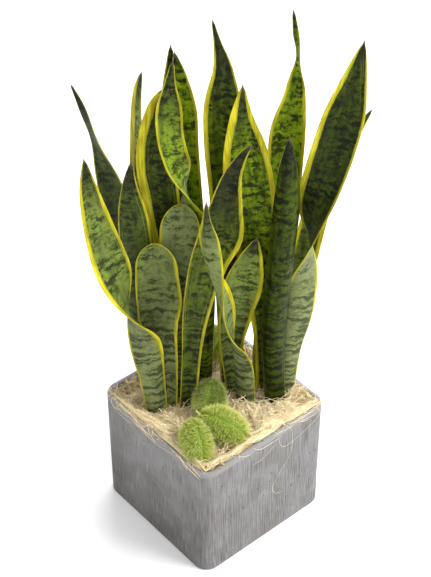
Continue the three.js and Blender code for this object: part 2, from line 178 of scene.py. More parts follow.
@dataclass
class Skin:
    """Points, faces and a number of each kind per point, gathered for one mesh."""

    points: list[Array] = field(default_factory=list)
    faces: list[Array] = field(default_factory=list)
    values: dict[str, list[Array]] = field(default_factory=dict)
    count: int = 0

    def add(self, points: Array, faces: list[Array], values: Mapping[str, Array]) -> None:
        """Adds one patch.

        Args:
            points: Places in millimetres, any shape that ends in 3.
            faces: Arrays of point numbers within the patch, one row per face.
            values: Named numbers, one per point or one for all of them.
        """
        points = points.reshape(-1, 3)
        self.points.append(points)
        self.faces.extend(patch + self.count for patch in faces)
        for name, value in values.items():
            spread = np.broadcast_to(np.asarray(value, float).reshape(-1), (len(points),))
            self.values.setdefault(name, []).append(spread)
        self.count += len(points)

    def add_strands(self, paths: Array, radii: Array, values: Mapping[str, Array]) -> None:
        """Adds thin strands, three-sided and closed at both ends.

        Args:
            paths: Points of each strand, shaped strands x points x 3.
            radii: Radius at each of those points.
            values: Named numbers at each of those points.
        """
        strands, steps, _ = paths.shape
        along = unit(np.gradient(paths, axis=1))
        other = np.where(np.abs(along[:, :1, 2:]) > 0.8, [[[1.0, 0.0, 0.0]]], UP)
        side = np.empty_like(paths)
        previous = other[:, 0]
        for step in range(steps):
            here = along[:, step]
            previous = unit(previous - dot(previous, here) * here)
            side[:, step] = previous
        third = np.cross(along, side)
        ring = []
        for corner in range(3):
            angle = 2 * math.pi * corner / 3
            reach = math.cos(angle) * side + math.sin(angle) * third
            ring.append(paths + radii[..., None] * reach)
        points = np.stack(ring, axis=2)
        first = (np.arange(strands) * steps * 3)[:, None]
        walls = strip_faces(steps, 3, True)[None] + first[:, None]
        start = first + np.array([2, 1, 0])
        end = first + (steps - 1) * 3 + np.array([0, 1, 2])
        spread = {name: np.repeat(np.broadcast_to(value, radii.shape).reshape(-1), 3)
                  for name, value in values.items()}
        self.add(points, [walls.reshape(-1, 4), start, end], spread)

    def build(self, name: str, material: bpy.types.Material) -> bpy.types.Object:
        """Makes the smooth-shaded object.

        Args:
            name: Its name.
            material: Its finish.

        Returns:
            The new object, linked to the scene.
        """
        mesh = bpy.data.meshes.new(name)
        points = np.concatenate(self.points) * MM
        corners = np.concatenate([patch.ravel() for patch in self.faces])
        sizes = np.concatenate([np.full(len(patch), patch.shape[1]) for patch in self.faces])
        mesh.vertices.add(len(points))
        mesh.vertices.foreach_set("co", points.astype(np.float32).ravel())
        mesh.loops.add(len(corners))
        mesh.loops.foreach_set("vertex_index", corners.astype(np.int32))
        mesh.polygons.add(len(sizes))
        starts = np.cumsum(sizes) - sizes
        mesh.polygons.foreach_set("loop_start", starts.astype(np.int32))
        mesh.polygons.foreach_set("use_smooth", np.ones(len(sizes), bool))
        mesh.update(calc_edges=True)
        for key, value in self.values.items():
            layer = mesh.attributes.new(key, "FLOAT", "POINT")
            layer.data.foreach_set("value", np.concatenate(value).astype(np.float32))
        mesh.materials.append(material)
        piece = bpy.data.objects.new(name, mesh)
        bpy.context.scene.collection.objects.link(piece)
        return piece


def tapered(radii: Array, along: Array, loss: float, power: float) -> Array:
    """Radii along strands that thin towards both ends.

    Args:
        radii: Each strand's radius at its middle.
        along: Places along a strand, from -1 at one end to 1 at the other.
        loss: Share of the radius lost at the ends.
        power: How close to the ends the thinning keeps.

    Returns:
        One row of radii for each strand.
    """
    return radii[:, None] * (1 - loss * np.abs(along) ** power)


def settle(piece: bpy.types.Object, slot: str, *nodes: str) -> None:
    """Fixes a piece to the plant and reports it.

    Args:
        piece: The finished piece.
        slot: Not used.
        nodes: The CAD nodes that it stands for.
    """
    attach(piece, "root")
    if nodes:
        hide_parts(*nodes)
    log.info("%s: %d faces", piece.name, len(piece.data.polygons))
    for node in nodes:
        low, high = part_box(node)
        corners = np.array([corner[:] for corner in piece.bound_box])
        gap = np.concatenate([corners.min(0) - np.array(low), np.array(high) - corners.max(0)])
        log.info("  stands %.1f mm outside %s at most", max(-gap.min() / MM, 0.0), node)


# ---- shader expressions -----------------------------------------------------------------


def tone(code: str) -> Colour:
    """A colour written as #rrggbb, as the linear red, green and blue that a shader takes."""
    shares = [int(code[start:start + 2], 16) / 255 for start in (1, 3, 5)]
    return tuple(s / 12.92 if s < 0.04045 else ((s + 0.055) / 1.055) ** 2.4 for s in shares)


class Signal:
    """A socket of a material that takes part in Python expressions."""

    def __init__(self, recipe: "Recipe", socket: bpy.types.NodeSocket) -> None:
        """Wraps an output socket of a recipe's node tree."""
        self.recipe = recipe
        self.socket = socket

    def combine(self, operation: str, first: "Value", second: "Value") -> "Signal":
        """Joins two values with a Math, Vector Math or Mix node, as this socket's kind asks.

        Args:
            operation: The node's operation.
            first: The first value.
            second: The second value.

        Returns:
            The node's result.
        """
        if self.socket.type == "RGBA":
            settings = {"data_type": "RGBA", "blend_type": operation}
            links = {0: 1.0, 6: first, 7: second}
            return self.recipe.node("ShaderNodeMix", settings, links, output=2)
        kind = "ShaderNodeVectorMath" if self.socket.type == "VECTOR" else "ShaderNodeMath"
        return self.recipe.node(kind, {"operation": operation}, {0: first, 1: second})

    def __add__(self, other: "Value") -> "Signal":
        """This plus another value."""
        return self.combine("ADD", self, other)

    def __radd__(self, other: "Value") -> "Signal":
        """Another value plus this."""
        return self.combine("ADD", other, self)

    def __sub__(self, other: "Value") -> "Signal":
        """This minus another value."""
        return self.combine("SUBTRACT", self, other)

    def __rsub__(self, other: "Value") -> "Signal":
        """Another value minus this."""
        return self.combine("SUBTRACT", other, self)

    def __mul__(self, other: "Value") -> "Signal":
        """This times another value."""
        return self.combine("MULTIPLY", self, other)

    def __rmul__(self, other: "Value") -> "Signal":
        """Another value times this."""
        return self.combine("MULTIPLY", other, self)

    def step(self, low: float, high: float) -> "Signal":
        """Smooth step of this from 0 at low to 1 at high, or down from 1 where high is less.

        Args:
            low: Value where the step starts.
            high: Value where it ends.

        Returns:
            The step, from 0 to 1.
        """
        if high < low:
            return 1.0 - self.step(high, low)
        settings = {"interpolation_type": "SMOOTHSTEP"}
        return self.recipe.node("ShaderNodeMapRange", settings, {0: self, 1: low, 2: high})


Value = Signal | float | Colour


class Recipe:
    """The node tree of one finish."""

    def __init__(self, name: str) -> None:
        """Starts a material that holds only a Principled shader.

        Args:
            name: The material's name.
        """
        self.material = bpy.data.materials.new(name)
        self.material.use_nodes = True
        self.tree = self.material.node_tree
        self.tree.nodes.clear()
        self.shader = self.tree.nodes.new("ShaderNodeBsdfPrincipled")
        output = self.tree.nodes.new("ShaderNodeOutputMaterial")
        self.tree.links.new(self.shader.outputs[0], output.inputs[0])

    def feed(self, socket: bpy.types.NodeSocket, value: Value) -> None:
        """Links a signal to an input socket, or sets a number or colour on it.

        Args:
            socket: The input.
            value: What it takes.
        """
        if isinstance(value, Signal):
            self.tree.links.new(value.socket, socket)
        elif socket.type == "RGBA":
            colour = value if isinstance(value, tuple) else (value, value, value)
            socket.default_value = (*colour, 1.0)
        else:
            socket.default_value = value

    def node(self, kind: str, settings: Mapping[str, object], links: Mapping[int | str, Value],
             output: int = 0) -> Signal:
        """Adds a node.

        Args:
            kind: The node's type.
            settings: Its properties, which are set first.
            links: The value or signal of each input socket.
            output: Which of its outputs is wanted.

        Returns:
            That output.
        """
        node = self.tree.nodes.new(kind)
        for key, value in settings.items():
            setattr(node, key, value)
        for key, value in links.items():
            self.feed(node.inputs[key], value)
        return Signal(self, node.outputs[output])

    def point_value(self, name: str) -> Signal:
        """A number that the mesh carries at each point."""
        return self.node("ShaderNodeAttribute", {"attribute_name": name}, {}, output=2)

    def place(self) -> Signal:
        """The place on the object, in metres."""
        return self.node("ShaderNodeTexCoord", {}, {}, output=3)

    def vector(self, x: Value, y: Value, z: Value = 0.0) -> Signal:
        """A vector of three numbers."""
        return self.node("ShaderNodeCombineXYZ", {}, {0: x, 1: y, 2: z})

    def noise(self, at: Signal, scale: float = 1.0, detail: float = 0.0,
              roughness: float = 0.5) -> Signal:
        """Cloudy noise from 0 to 1, mostly near a half.

        Args:
            at: Where it is read.
            scale: Clouds per unit of that place.
            detail: Octaves of finer clouds.
            roughness: How strong the finer clouds are.

        Returns:
            The noise.
        """
        links = {"Vector": at, "Scale": scale, "Detail": detail, "Roughness": roughness}
        return self.node("ShaderNodeTexNoise", {}, links)

    def cells(self, at: Signal, scale: float) -> Signal:
        """Distance to the nearest of many scattered points."""
        return self.node("ShaderNodeTexVoronoi", {}, {"Vector": at, "Scale": scale})

    def mix(self, share: Value, first: Value, second: Value) -> Signal:
        """Blend of two colours, all of the first at share 0."""
        settings = {"data_type": "RGBA", "clamp_factor": True}
        return self.node("ShaderNodeMix", settings, {0: share, 6: first, 7: second}, output=2)

    def relief(self, height: Signal, depth: float, strength: float) -> Signal:
        """Surface normal of a fine relief.

        Args:
            height: The relief, from 0 to 1.
            depth: Its depth in metres.
            strength: How much of it shows.

        Returns:
            The normal.
        """
        links = {"Strength": strength, "Distance": depth, "Height": height}
        return self.node("ShaderNodeBump", {}, links)

    def done(self, **sockets: Value) -> bpy.types.Material:
        """Feeds the shader and hands over the material.

        Args:
            sockets: Values of the shader's inputs, named with _ for a space.

        Returns:
            The material.
        """
        for name, value in sockets.items():
            self.feed(self.shader.inputs[name.replace("_", " ").title()
                                         .replace("Ior", "IOR")], value)
        return self.material


# ---- finishes ---------------------------------------------------------------------------


@dataclass(frozen=True)
class LeafFinish:
    """Waxy green blade with wavy dark cross bands and yellow margins."""

    deep: str = "#1b2407"
    lively: str = "#84a00e"
    bloomed: str = "#7d8656"
    band: str = "#080b04"
    bloomed_band: str = "#2f3924"
    dusk: str = "#11140a"
    pale_dusk: str = "#31361f"
    margin: str = "#a79c10"
    margin_light: str = "#d0c62e"
    margin_green: str = "#7c8222"
    dry: str = "#57483a"
    scar: str = "#a77b4d"

    def make(self) -> bpy.types.Material:
        """Builds the material.

        Returns:
            A material that reads across_mm, along_mm, rim_mm, edge_mm, tip_mm, bloom,
            lively, dusk and low at each point.
        """
        r = Recipe("waxy_leaf")
        x, y = r.point_value("across_mm"), r.point_value("along_mm")
        rim, edge, tip = (r.point_value(name) for name in ("rim_mm", "edge_mm", "tip_mm"))
        bloom, lively = r.point_value("bloom"), r.point_value("lively")
        dusk, low = r.point_value("dusk"), r.point_value("low")

        def cloud(across: float, along: float, detail: float = 0.0, shift: Value = 0.0,
                  roughness: float = 0.5) -> Signal:
            """Noise stretched over the blade, in clouds per millimetre."""
            at = r.vector(x * across, (y + shift) * along)
            return r.noise(at, detail=detail, roughness=roughness)

        wander = (cloud(0.11, 0.05) - 0.5) * 9.0 + (cloud(0.5, 0.2) - 0.5) * 4.5
        patch = cloud(0.03, 0.022, 1.0)
        fleck = cloud(0.5, 0.9, 2.0)
        bands = cloud(0.045, 0.14, 4.0, wander, 0.62).step(0.47, 0.6)
        hair_bands = cloud(0.05, 0.4, 2.0, wander * 1.3).step(0.53, 0.66)
        smudge = cloud(0.14, 0.1, 4.0, wander * 0.6, 0.65).step(0.47, 0.62)
        foot_bands = cloud(0.02, 0.13, 3.0, wander, 0.55).step(0.46, 0.58)
        strong = patch.step(0.36, 0.62)
        dark = bands * (strong * 0.8 + 0.25) + hair_bands * 0.35 + smudge * (1.0 - bloom) * 0.6
        dark = dark * (1.0 - low) + (foot_bands * 0.95 + dark * 0.4) * low
        dark = (dark * (fleck * 0.9 + 0.5)).step(0.02, 0.95)
        blotch = cloud(0.07, 0.035, 5.0, wander * 0.5, 0.7).step(0.5, 0.62)

        long_streak = cloud(0.12, 0.005, 2.0).step(0.3, 0.7)
        # painted shade: the green darkens by up to 45% towards the foot of each blade, where the
        # clump shades it
        lively_under_foot_shade = lively * (1.0 - low * 0.45)
        ground = r.mix(lively_under_foot_shade * (patch * 1.1 + long_streak * 0.75 - 0.05), tone(self.deep),
                       tone(self.lively))
        ground = r.mix(bloom * (fleck * 0.5 + 0.72), ground, tone(self.bloomed))
        ground = r.mix((cloud(0.2, 0.35, 2.0) - 0.4) * 1.1, ground, ground * 0.4)
        ground = r.mix(blotch * (1.0 - bloom * 0.6) * 0.62, ground, tone(self.deep))
        shade = r.mix(bloom, tone(self.band), tone(self.bloomed_band))
        green = r.mix(dark * 0.88, ground, shade)
        gloom = r.mix(long_streak * 0.7 + fleck * 0.3 - dark * 0.8, tone(self.dusk),
                      tone(self.pale_dusk))
        green = r.mix(dusk * (fleck * 0.5 + 0.66), green, gloom)

        side = x.step(-2.0, 2.0) * 9.0
        streak = r.noise(r.vector(rim * 0.75, y * 0.004, side), detail=1.0).step(0.58, 0.66)
        streak = streak * rim.step(0.3, 1.4) * rim.step(8.0, 4.0) * (1.0 - dusk)
        green = r.mix(streak * 0.55, green, tone(self.margin_green))

        gold = r.mix(cloud(0.35, 0.03, 2.0).step(0.35, 0.66), tone(self.margin),
                     tone(self.margin_light))
        gold = r.mix(rim.step(-3.4, 0.2) * 0.75, gold, tone(self.margin_green))
        gold = r.mix(cloud(1.6, 0.02, 1.0).step(0.5, 0.7) * 0.35, gold, tone(self.margin_green))
        # painted shade: large random patches where the margin darkens to half
        gold = r.mix(cloud(0.05, 0.018, 2.0).step(0.46, 0.66) * 0.45, gold, gold * 0.5)
        rust = edge.step(0.9, 0.1) * cloud(0.05, 0.05, 1.0).step(0.5, 0.66)
        gold = r.mix(rust * 0.75, gold, tone(self.scar))

        inside = (rim + (cloud(0.7, 0.1, 2.0) - 0.5) * 2.2).step(-0.4, 0.4)
        colour = r.mix(inside, gold, green)
        scars = cloud(0.4, 0.4, 0.0).step(0.85, 0.87)
        colour = r.mix(scars * 0.8, colour, tone(self.scar))
        withered = (tip + cloud(0.3, 0.3, 2.0) * 8.0).step(13.0, 7.0)
        colour = r.mix(withered, colour, tone(self.dry))

        veins = cloud(2.4, 0.012, 2.0)
        height = veins * 0.6 + bands * 0.25 + fleck * 0.25
        return r.done(
            base_color=colour,
            roughness=0.44 + bloom * 0.16 + fleck * 0.1,
            normal=r.relief(height, 0.0007, 0.45),
            specular_ior_level=0.09,
        )


@dataclass(frozen=True)
class PotFinish:
    """Grey fibre clay, brushed upright, with brownish stains, painted shade in its grooves, pits and
    inner walls, and a painted highlight on its rim.
    """

    ground: str = "#828181"
    pale: str = "#969593"
    stain: str = "#716d6a"
    groove: str = "#494849"
    pit: str = "#2f2d2d"
    inside: str = "#5a534d"

    def make(self) -> bpy.types.Material:
        """Builds the material.

        Returns:
            A material that reads groove, rim and inside at each point, and a share that darkens the
            calm side towards its foot.
        """
        r = Recipe("fibre_clay")
        at = r.place()
        groove, rim, within = (r.point_value(name) for name in ("groove", "rim", "inside"))
        darker_low = r.point_value("darker_low")
        stains = r.noise(at, 17.0, 4.0, 0.6)
        grain = r.noise(at, 900.0, 2.0)
        stretched = r.noise(at * (620.0, 620.0, 30.0), 1.0, 3.0)
        colour = r.mix(stains.step(0.4, 0.6) * 0.6, tone(self.ground), tone(self.stain))
        colour = r.mix(r.noise(at, 42.0, 3.0).step(0.5, 0.72) * 0.4, colour, tone(self.pale))
        # darker towards the foot of the calm -Y side, patchy with the stain noise
        colour = r.mix(darker_low * (stains * 0.6 + 0.6), colour, colour * (0.47, 0.455, 0.445))
        # painted shade in the deepest part of each brushed groove
        colour = r.mix(groove, colour, tone(self.groove))
        colour = r.mix(stretched.step(0.54, 0.72) * (1.0 - rim) * 0.45, colour, tone(self.pale))
        colour = r.mix(stretched.step(0.46, 0.3) * (1.0 - rim) * 0.62, colour, tone(self.groove))
        # painted highlight on the rounded rim, speckled with the grain
        colour = r.mix(rim * (grain * 0.7 + 0.15), colour, tone(self.pale))
        holes = (r.cells(at, 105.0) + stretched * 0.16).step(0.25, 0.16)
        pits = holes * r.noise(at, 50.0).step(0.48, 0.54)
        # painted shade inside the pinholes
        colour = r.mix(pits * 0.9, colour, tone(self.pit))
        colour = r.mix((grain - 0.45) * 0.8, colour, tone(self.stain))
        # painted shade on the inner walls, patchy with the stain noise
        inside_shade = within * (stains * 0.7 + 0.45)
        colour = r.mix(inside_shade, colour, tone(self.inside))
        height = stretched * (0.7 - rim * 0.5) + grain * 0.35 - pits * 0.8
        return r.done(
            base_color=colour,
            roughness=0.66 + grain * 0.25,
            normal=r.relief(height, 0.0006, 0.6),
            specular_ior_level=0.2,
        )


@dataclass(frozen=True)
class SoilFinish:
    """Damp crumbly potting soil."""

    dark: str = "#1d140d"
    light: str = "#4a3524"

    def make(self) -> bpy.types.Material:
        """Builds the material.

        Returns:
            A material that reads only the place.
        """
        r = Recipe("potting_soil")
        at = r.place()
        crumbs = r.cells(at, 240.0)
        grain = r.noise(at, 500.0, 4.0, 0.6)
        colour = r.mix(grain.step(0.4, 0.7), tone(self.dark), tone(self.light))
        return r.done(
            base_color=r.mix(crumbs * 0.8, colour, tone(self.dark)),
            roughness=0.85 + grain * 0.1,
            normal=r.relief(crumbs + grain, 0.0015, 0.9),
        )


@dataclass(frozen=True)
class SisalFinish:
    """Pale plant fibre, tan to cream, with warm patches, painted shade in its hollows, and dark soil
    colour among the leaves that is partly painted shade.
    """

    cream: str = "#fdefc8"
    tan: str = "#d3b97e"
    shaded: str = "#8c6b3a"
    warm: str = "#e0a257"
    gap: str = "#20160d"

    def mat(self) -> bpy.types.Material:
        """Builds the finish of the matted body.

        Returns:
            A material that reads bare, warm and hollow at each point.
        """
        r = Recipe("matted_sisal")
        at = r.place()
        bare, warm, hollow = (r.point_value(name) for name in ("bare", "warm", "hollow"))
        bend = (r.noise(at, 22.0, 2.0) - 0.5) * 0.05
        first = r.noise((at + bend) * (90.0, 1100.0, 500.0), 1.0, 3.0, 0.6)
        second = r.noise((at - bend) * (1000.0, 120.0, 500.0), 1.0, 3.0, 0.6)
        choose = r.noise(at, 30.0, 1.0).step(0.42, 0.58)
        combed = first * choose + second * (1.0 - choose)
        tufts = r.noise(at, 55.0, 3.0, 0.6)
        colour = r.mix(combed.step(0.36, 0.64), tone(self.shaded), tone(self.tan))
        colour = r.mix(tufts.step(0.46, 0.7) * 0.6, colour, tone(self.cream))
        colour = r.mix(warm * (tufts * 0.9 + 0.1), colour, tone(self.warm))
        # painted shade: the low hollows between tufts darken towards the gap colour
        colour = r.mix(hollow * (1.2 - combed * 0.7), colour, tone(self.gap))
        # dark soil colour where the mat thins among the leaves, partly painted shade from the leaves
        colour = r.mix(bare * (1.3 - combed * 0.5), colour, tone(self.gap))
        return r.done(
            base_color=colour,
            roughness=0.85,
            normal=r.relief(combed + tufts, 0.0018, 0.9),
            specular_ior_level=0.2,
        )

    def strand(self) -> bpy.types.Material:
        """Builds the finish of single fibres.

        Returns:
            A material that reads tint, 0 for tan to 1 for cream, at each point.
        """
        r = Recipe("sisal_strand")
        tint = r.point_value("tint")
        flecks = r.noise(r.place(), 260.0, 1.0)
        colour = r.mix(tint, tone(self.tan), tone(self.cream))
        return r.done(
            base_color=r.mix(flecks.step(0.58, 0.8) * 0.3, colour, tone(self.warm)),
            roughness=0.5 + flecks * 0.2,
            specular_ior_level=0.4,
        )


@dataclass(frozen=True)
class BristleFinish:
    """Soft green bristles, dark at the root and pale yellow-green at the end."""

    root: str = "#74912a"
    middle: str = "#d0d85a"
    end: str = "#fbfcc2"
    # deep is the colour of the painted shadow on the bristles
    deep: str = "#566b25"

    def make(self) -> bpy.types.Material:
        """Builds the material.

        Returns:
            A material that reads reach, tint and shade at each point.
        """
        r = Recipe("soft_bristle")
        reach, tint, shade = (r.point_value(name) for name in ("reach", "tint", "shade"))
        colour = r.mix(reach.step(0.0, 0.6), tone(self.root), tone(self.middle))
        colour = r.mix(reach.step(0.5, 1.0) * tint, colour, tone(self.end))
        # painted shadow towards the stalk end, leaving the pale bristle ends lighter
        colour = r.mix(shade * (0.95 - reach * tint * 0.8), colour, tone(self.deep))
        mottle = r.noise(r.place(), 300.0, 2.0)
        return r.done(
            base_color=r.mix((mottle - 0.4) * 0.8, colour, tone(self.root)),
            roughness=0.5 + mottle * 0.2,
            specular_ior_level=0.35,
        )


@dataclass(frozen=True)
class HuskFinish:
    """Dry orange-brown chips of husk."""

    pale: str = "#e0b27a"
    brown: str = "#8c5427"

    def make(self) -> bpy.types.Material:
        """Builds the material.

        Returns:
            A material that reads only the place.
        """
        r = Recipe("dry_husk")
        grain = r.noise(r.place() * (900.0, 260.0, 260.0), 1.0, 3.0)
        return r.done(
            base_color=r.mix(grain.step(0.4, 0.62), tone(self.brown), tone(self.pale)),
            roughness=0.7 + grain * 0.1,
            normal=r.relief(grain, 0.0005, 0.7),
        )


# ---- pot --------------------------------------------------------------------------------


def square_ring(half: float, radius: float, count: int) -> tuple[Array, Array]:
    """Points spaced evenly by share round a square with round corners.

    Args:
        half: Half the square's side.
        radius: Corner radius.
        count: Number of points.

    Returns:
        Their places in plan, and the outward direction at each.
    """
    reach = half - radius
    arc = math.pi / 2 * radius
    side = 2 * reach + arc
    at = np.arange(count) / count * 4 * side
    quarter = np.floor(at / side)
    rest = at - quarter * side
    angle = np.clip(rest - reach, 0.0, arc) / max(radius, 1e-9)
    x = reach + radius * np.cos(angle)
    y = reach + radius * np.sin(angle)
    before, after = rest < reach, rest > reach + arc
    y = np.where(before, rest, y)
    x = np.where(after, 2 * reach + arc - rest, x)
    turn = quarter * math.pi / 2
    out = angle + turn
    place = np.stack([x * np.cos(turn) - y * np.sin(turn),
                      x * np.sin(turn) + y * np.cos(turn)], axis=-1)
    return place, np.stack([np.cos(out), np.sin(out)], axis=-1)


@dataclass(frozen=True)
class Pot:
    """Hollow square pot with a rounded rim and brushed outer walls.

    The brushing is a row of upright grooves that wander a little. They are shallower on the
    calm side, which faces -Y and is darker towards its foot, and they fade out in a plain
    band under the rim.
    """

    side: float = 220.0
    height: float = 190.0
    wall: float = 9.0
    floor: float = 14.0
    corner: float = 22.0
    inner_corner: float = 6.0
    rim_round: float = 4.0
    foot_round: float = 3.0
    columns: int = 1400
    wall_rows: int = 46
    groove_pitch: float = 4.3
    groove_depth: float = 0.75
    groove_wander: float = 26.0
    calm_side: float = 0.45
    plain_band: float = 9.0
    wall_lumps: float = 0.25
    rim_lumps: float = 0.35
    round_steps: int = 6
    darker_low_height: float = 170.0
    darker_low_share: float = 0.85

    def profile(self) -> Array:
        """Outline of the pot's wall, from its foot up, over the rim and down inside.

        Returns:
            Rows of inset, height, outer-wall share, rim share and inside share.
        """
        rows = []
        for step in range(self.round_steps):
            angle = step / (self.round_steps - 1) * math.pi / 2
            rows.append([self.foot_round * (1 - math.sin(angle)),
                         self.foot_round * (1 - math.cos(angle)), 0, 0, 0])
        top = self.height - self.rim_round
        for height in np.linspace(self.foot_round, top, self.wall_rows)[1:-1]:
            rows.append([0, height, 1, 0, 0])
        for step in range(self.round_steps + 1):
            angle = step / self.round_steps * math.pi / 2
            rows.append([self.rim_round * (1 - math.cos(angle)),
                         top + self.rim_round * math.sin(angle), 0, 1, 0])
        for step in range(self.round_steps + 1):
            angle = step / self.round_steps * math.pi / 2
            rows.append([self.wall - self.rim_round * (1 - math.sin(angle)),
                         top + self.rim_round * math.cos(angle), 0, 1, step / self.round_steps])
        for height in np.linspace(top, self.floor, 9)[1:]:
            rows.append([self.wall, height, 0, 0, 1])
        return np.array(rows)

    def build(self, finish: bpy.types.Material) -> bpy.types.Object:
        """Makes the pot.

        Args:
            finish: Its material.

        Returns:
            The pot.
        """
        rings, groove_shades, darker_low = [], [], []
        around = np.arange(self.columns) / self.columns
        length = 8 * (self.side / 2 - self.corner) + 2 * math.pi * self.corner
        lines = round(length / self.groove_pitch)
        for inset, height, on_wall, on_rim, _ in self.profile():
            radius = max(self.corner - inset, self.inner_corner)
            plan, out = square_ring(self.side / 2 - inset, radius, self.columns)
            v = height / self.groove_wander
            phase = (around * lines + 0.8 * Drift(11, 32).at(around * 32, v * 0.5)
                     + 0.32 * Drift(12, 96).at(around * 96, v)
                     + 0.6 * Drift(16, 160).at(around * 160, v * 0.15))
            ridge = 0.5 - 0.5 * np.cos(2 * math.pi * phase)
            strength = 0.6 + 0.4 * Drift(13, 48).at(around * 48, v * 0.8)
            calm = ease((-out[:, 1] - 0.6) / 0.3)
            strength = strength * (1 - (1 - self.calm_side) * calm)
            plain = ease(np.array((self.height - height) / self.plain_band - 0.4))
            depth = self.groove_depth * on_wall * plain * strength * ridge**2
            depth = depth + self.wall_lumps * on_wall * (1 + Drift(14, 24).at(around * 24, v))
            lift = self.rim_lumps * on_rim * Drift(15, 40).at(around * 40, 0.5)
            place = plan - out * depth[:, None]
            rings.append(np.column_stack([place, np.full(self.columns, height) + lift]))
            # painted shade: strongest where the groove is deepest
            groove_shades.append(on_wall * plain * strength * ridge**4 * 0.6)
            low_down = ease(np.array(1.1 - height / self.darker_low_height))
            darker_low.append(calm * low_down * self.darker_low_share)
        points = np.array(rings)
        rows = len(points)
        middles = np.array([[0, 0, 0], [0, 0, self.floor]], float)
        low = np.arange(self.columns)
        low_next = (low + 1) % self.columns
        high, high_next = low + (rows - 1) * self.columns, low_next + (rows - 1) * self.columns
        first = rows * self.columns
        caps = [np.stack([np.full(self.columns, first), low_next, low], -1),
                np.stack([np.full(self.columns, first + 1), high, high_next], -1)]
        profile = np.repeat(self.profile(), self.columns, axis=0)
        ends = np.zeros(2)
        skin = Skin()
        skin.add(
            np.vstack([points.reshape(-1, 3), middles]),
            [strip_faces(rows, self.columns, True), *caps],
            {"groove": np.concatenate([np.array(groove_shades).ravel(), ends]),
             "darker_low": np.concatenate([np.array(darker_low).ravel(), ends]),
             "rim": np.concatenate([profile[:, 3], ends]),
             "inside": np.concatenate([profile[:, 4], ends + 1])},
        )
        return skin.build("clay_pot", finish)


# ---- sisal ------------------------------------------------------------------------------


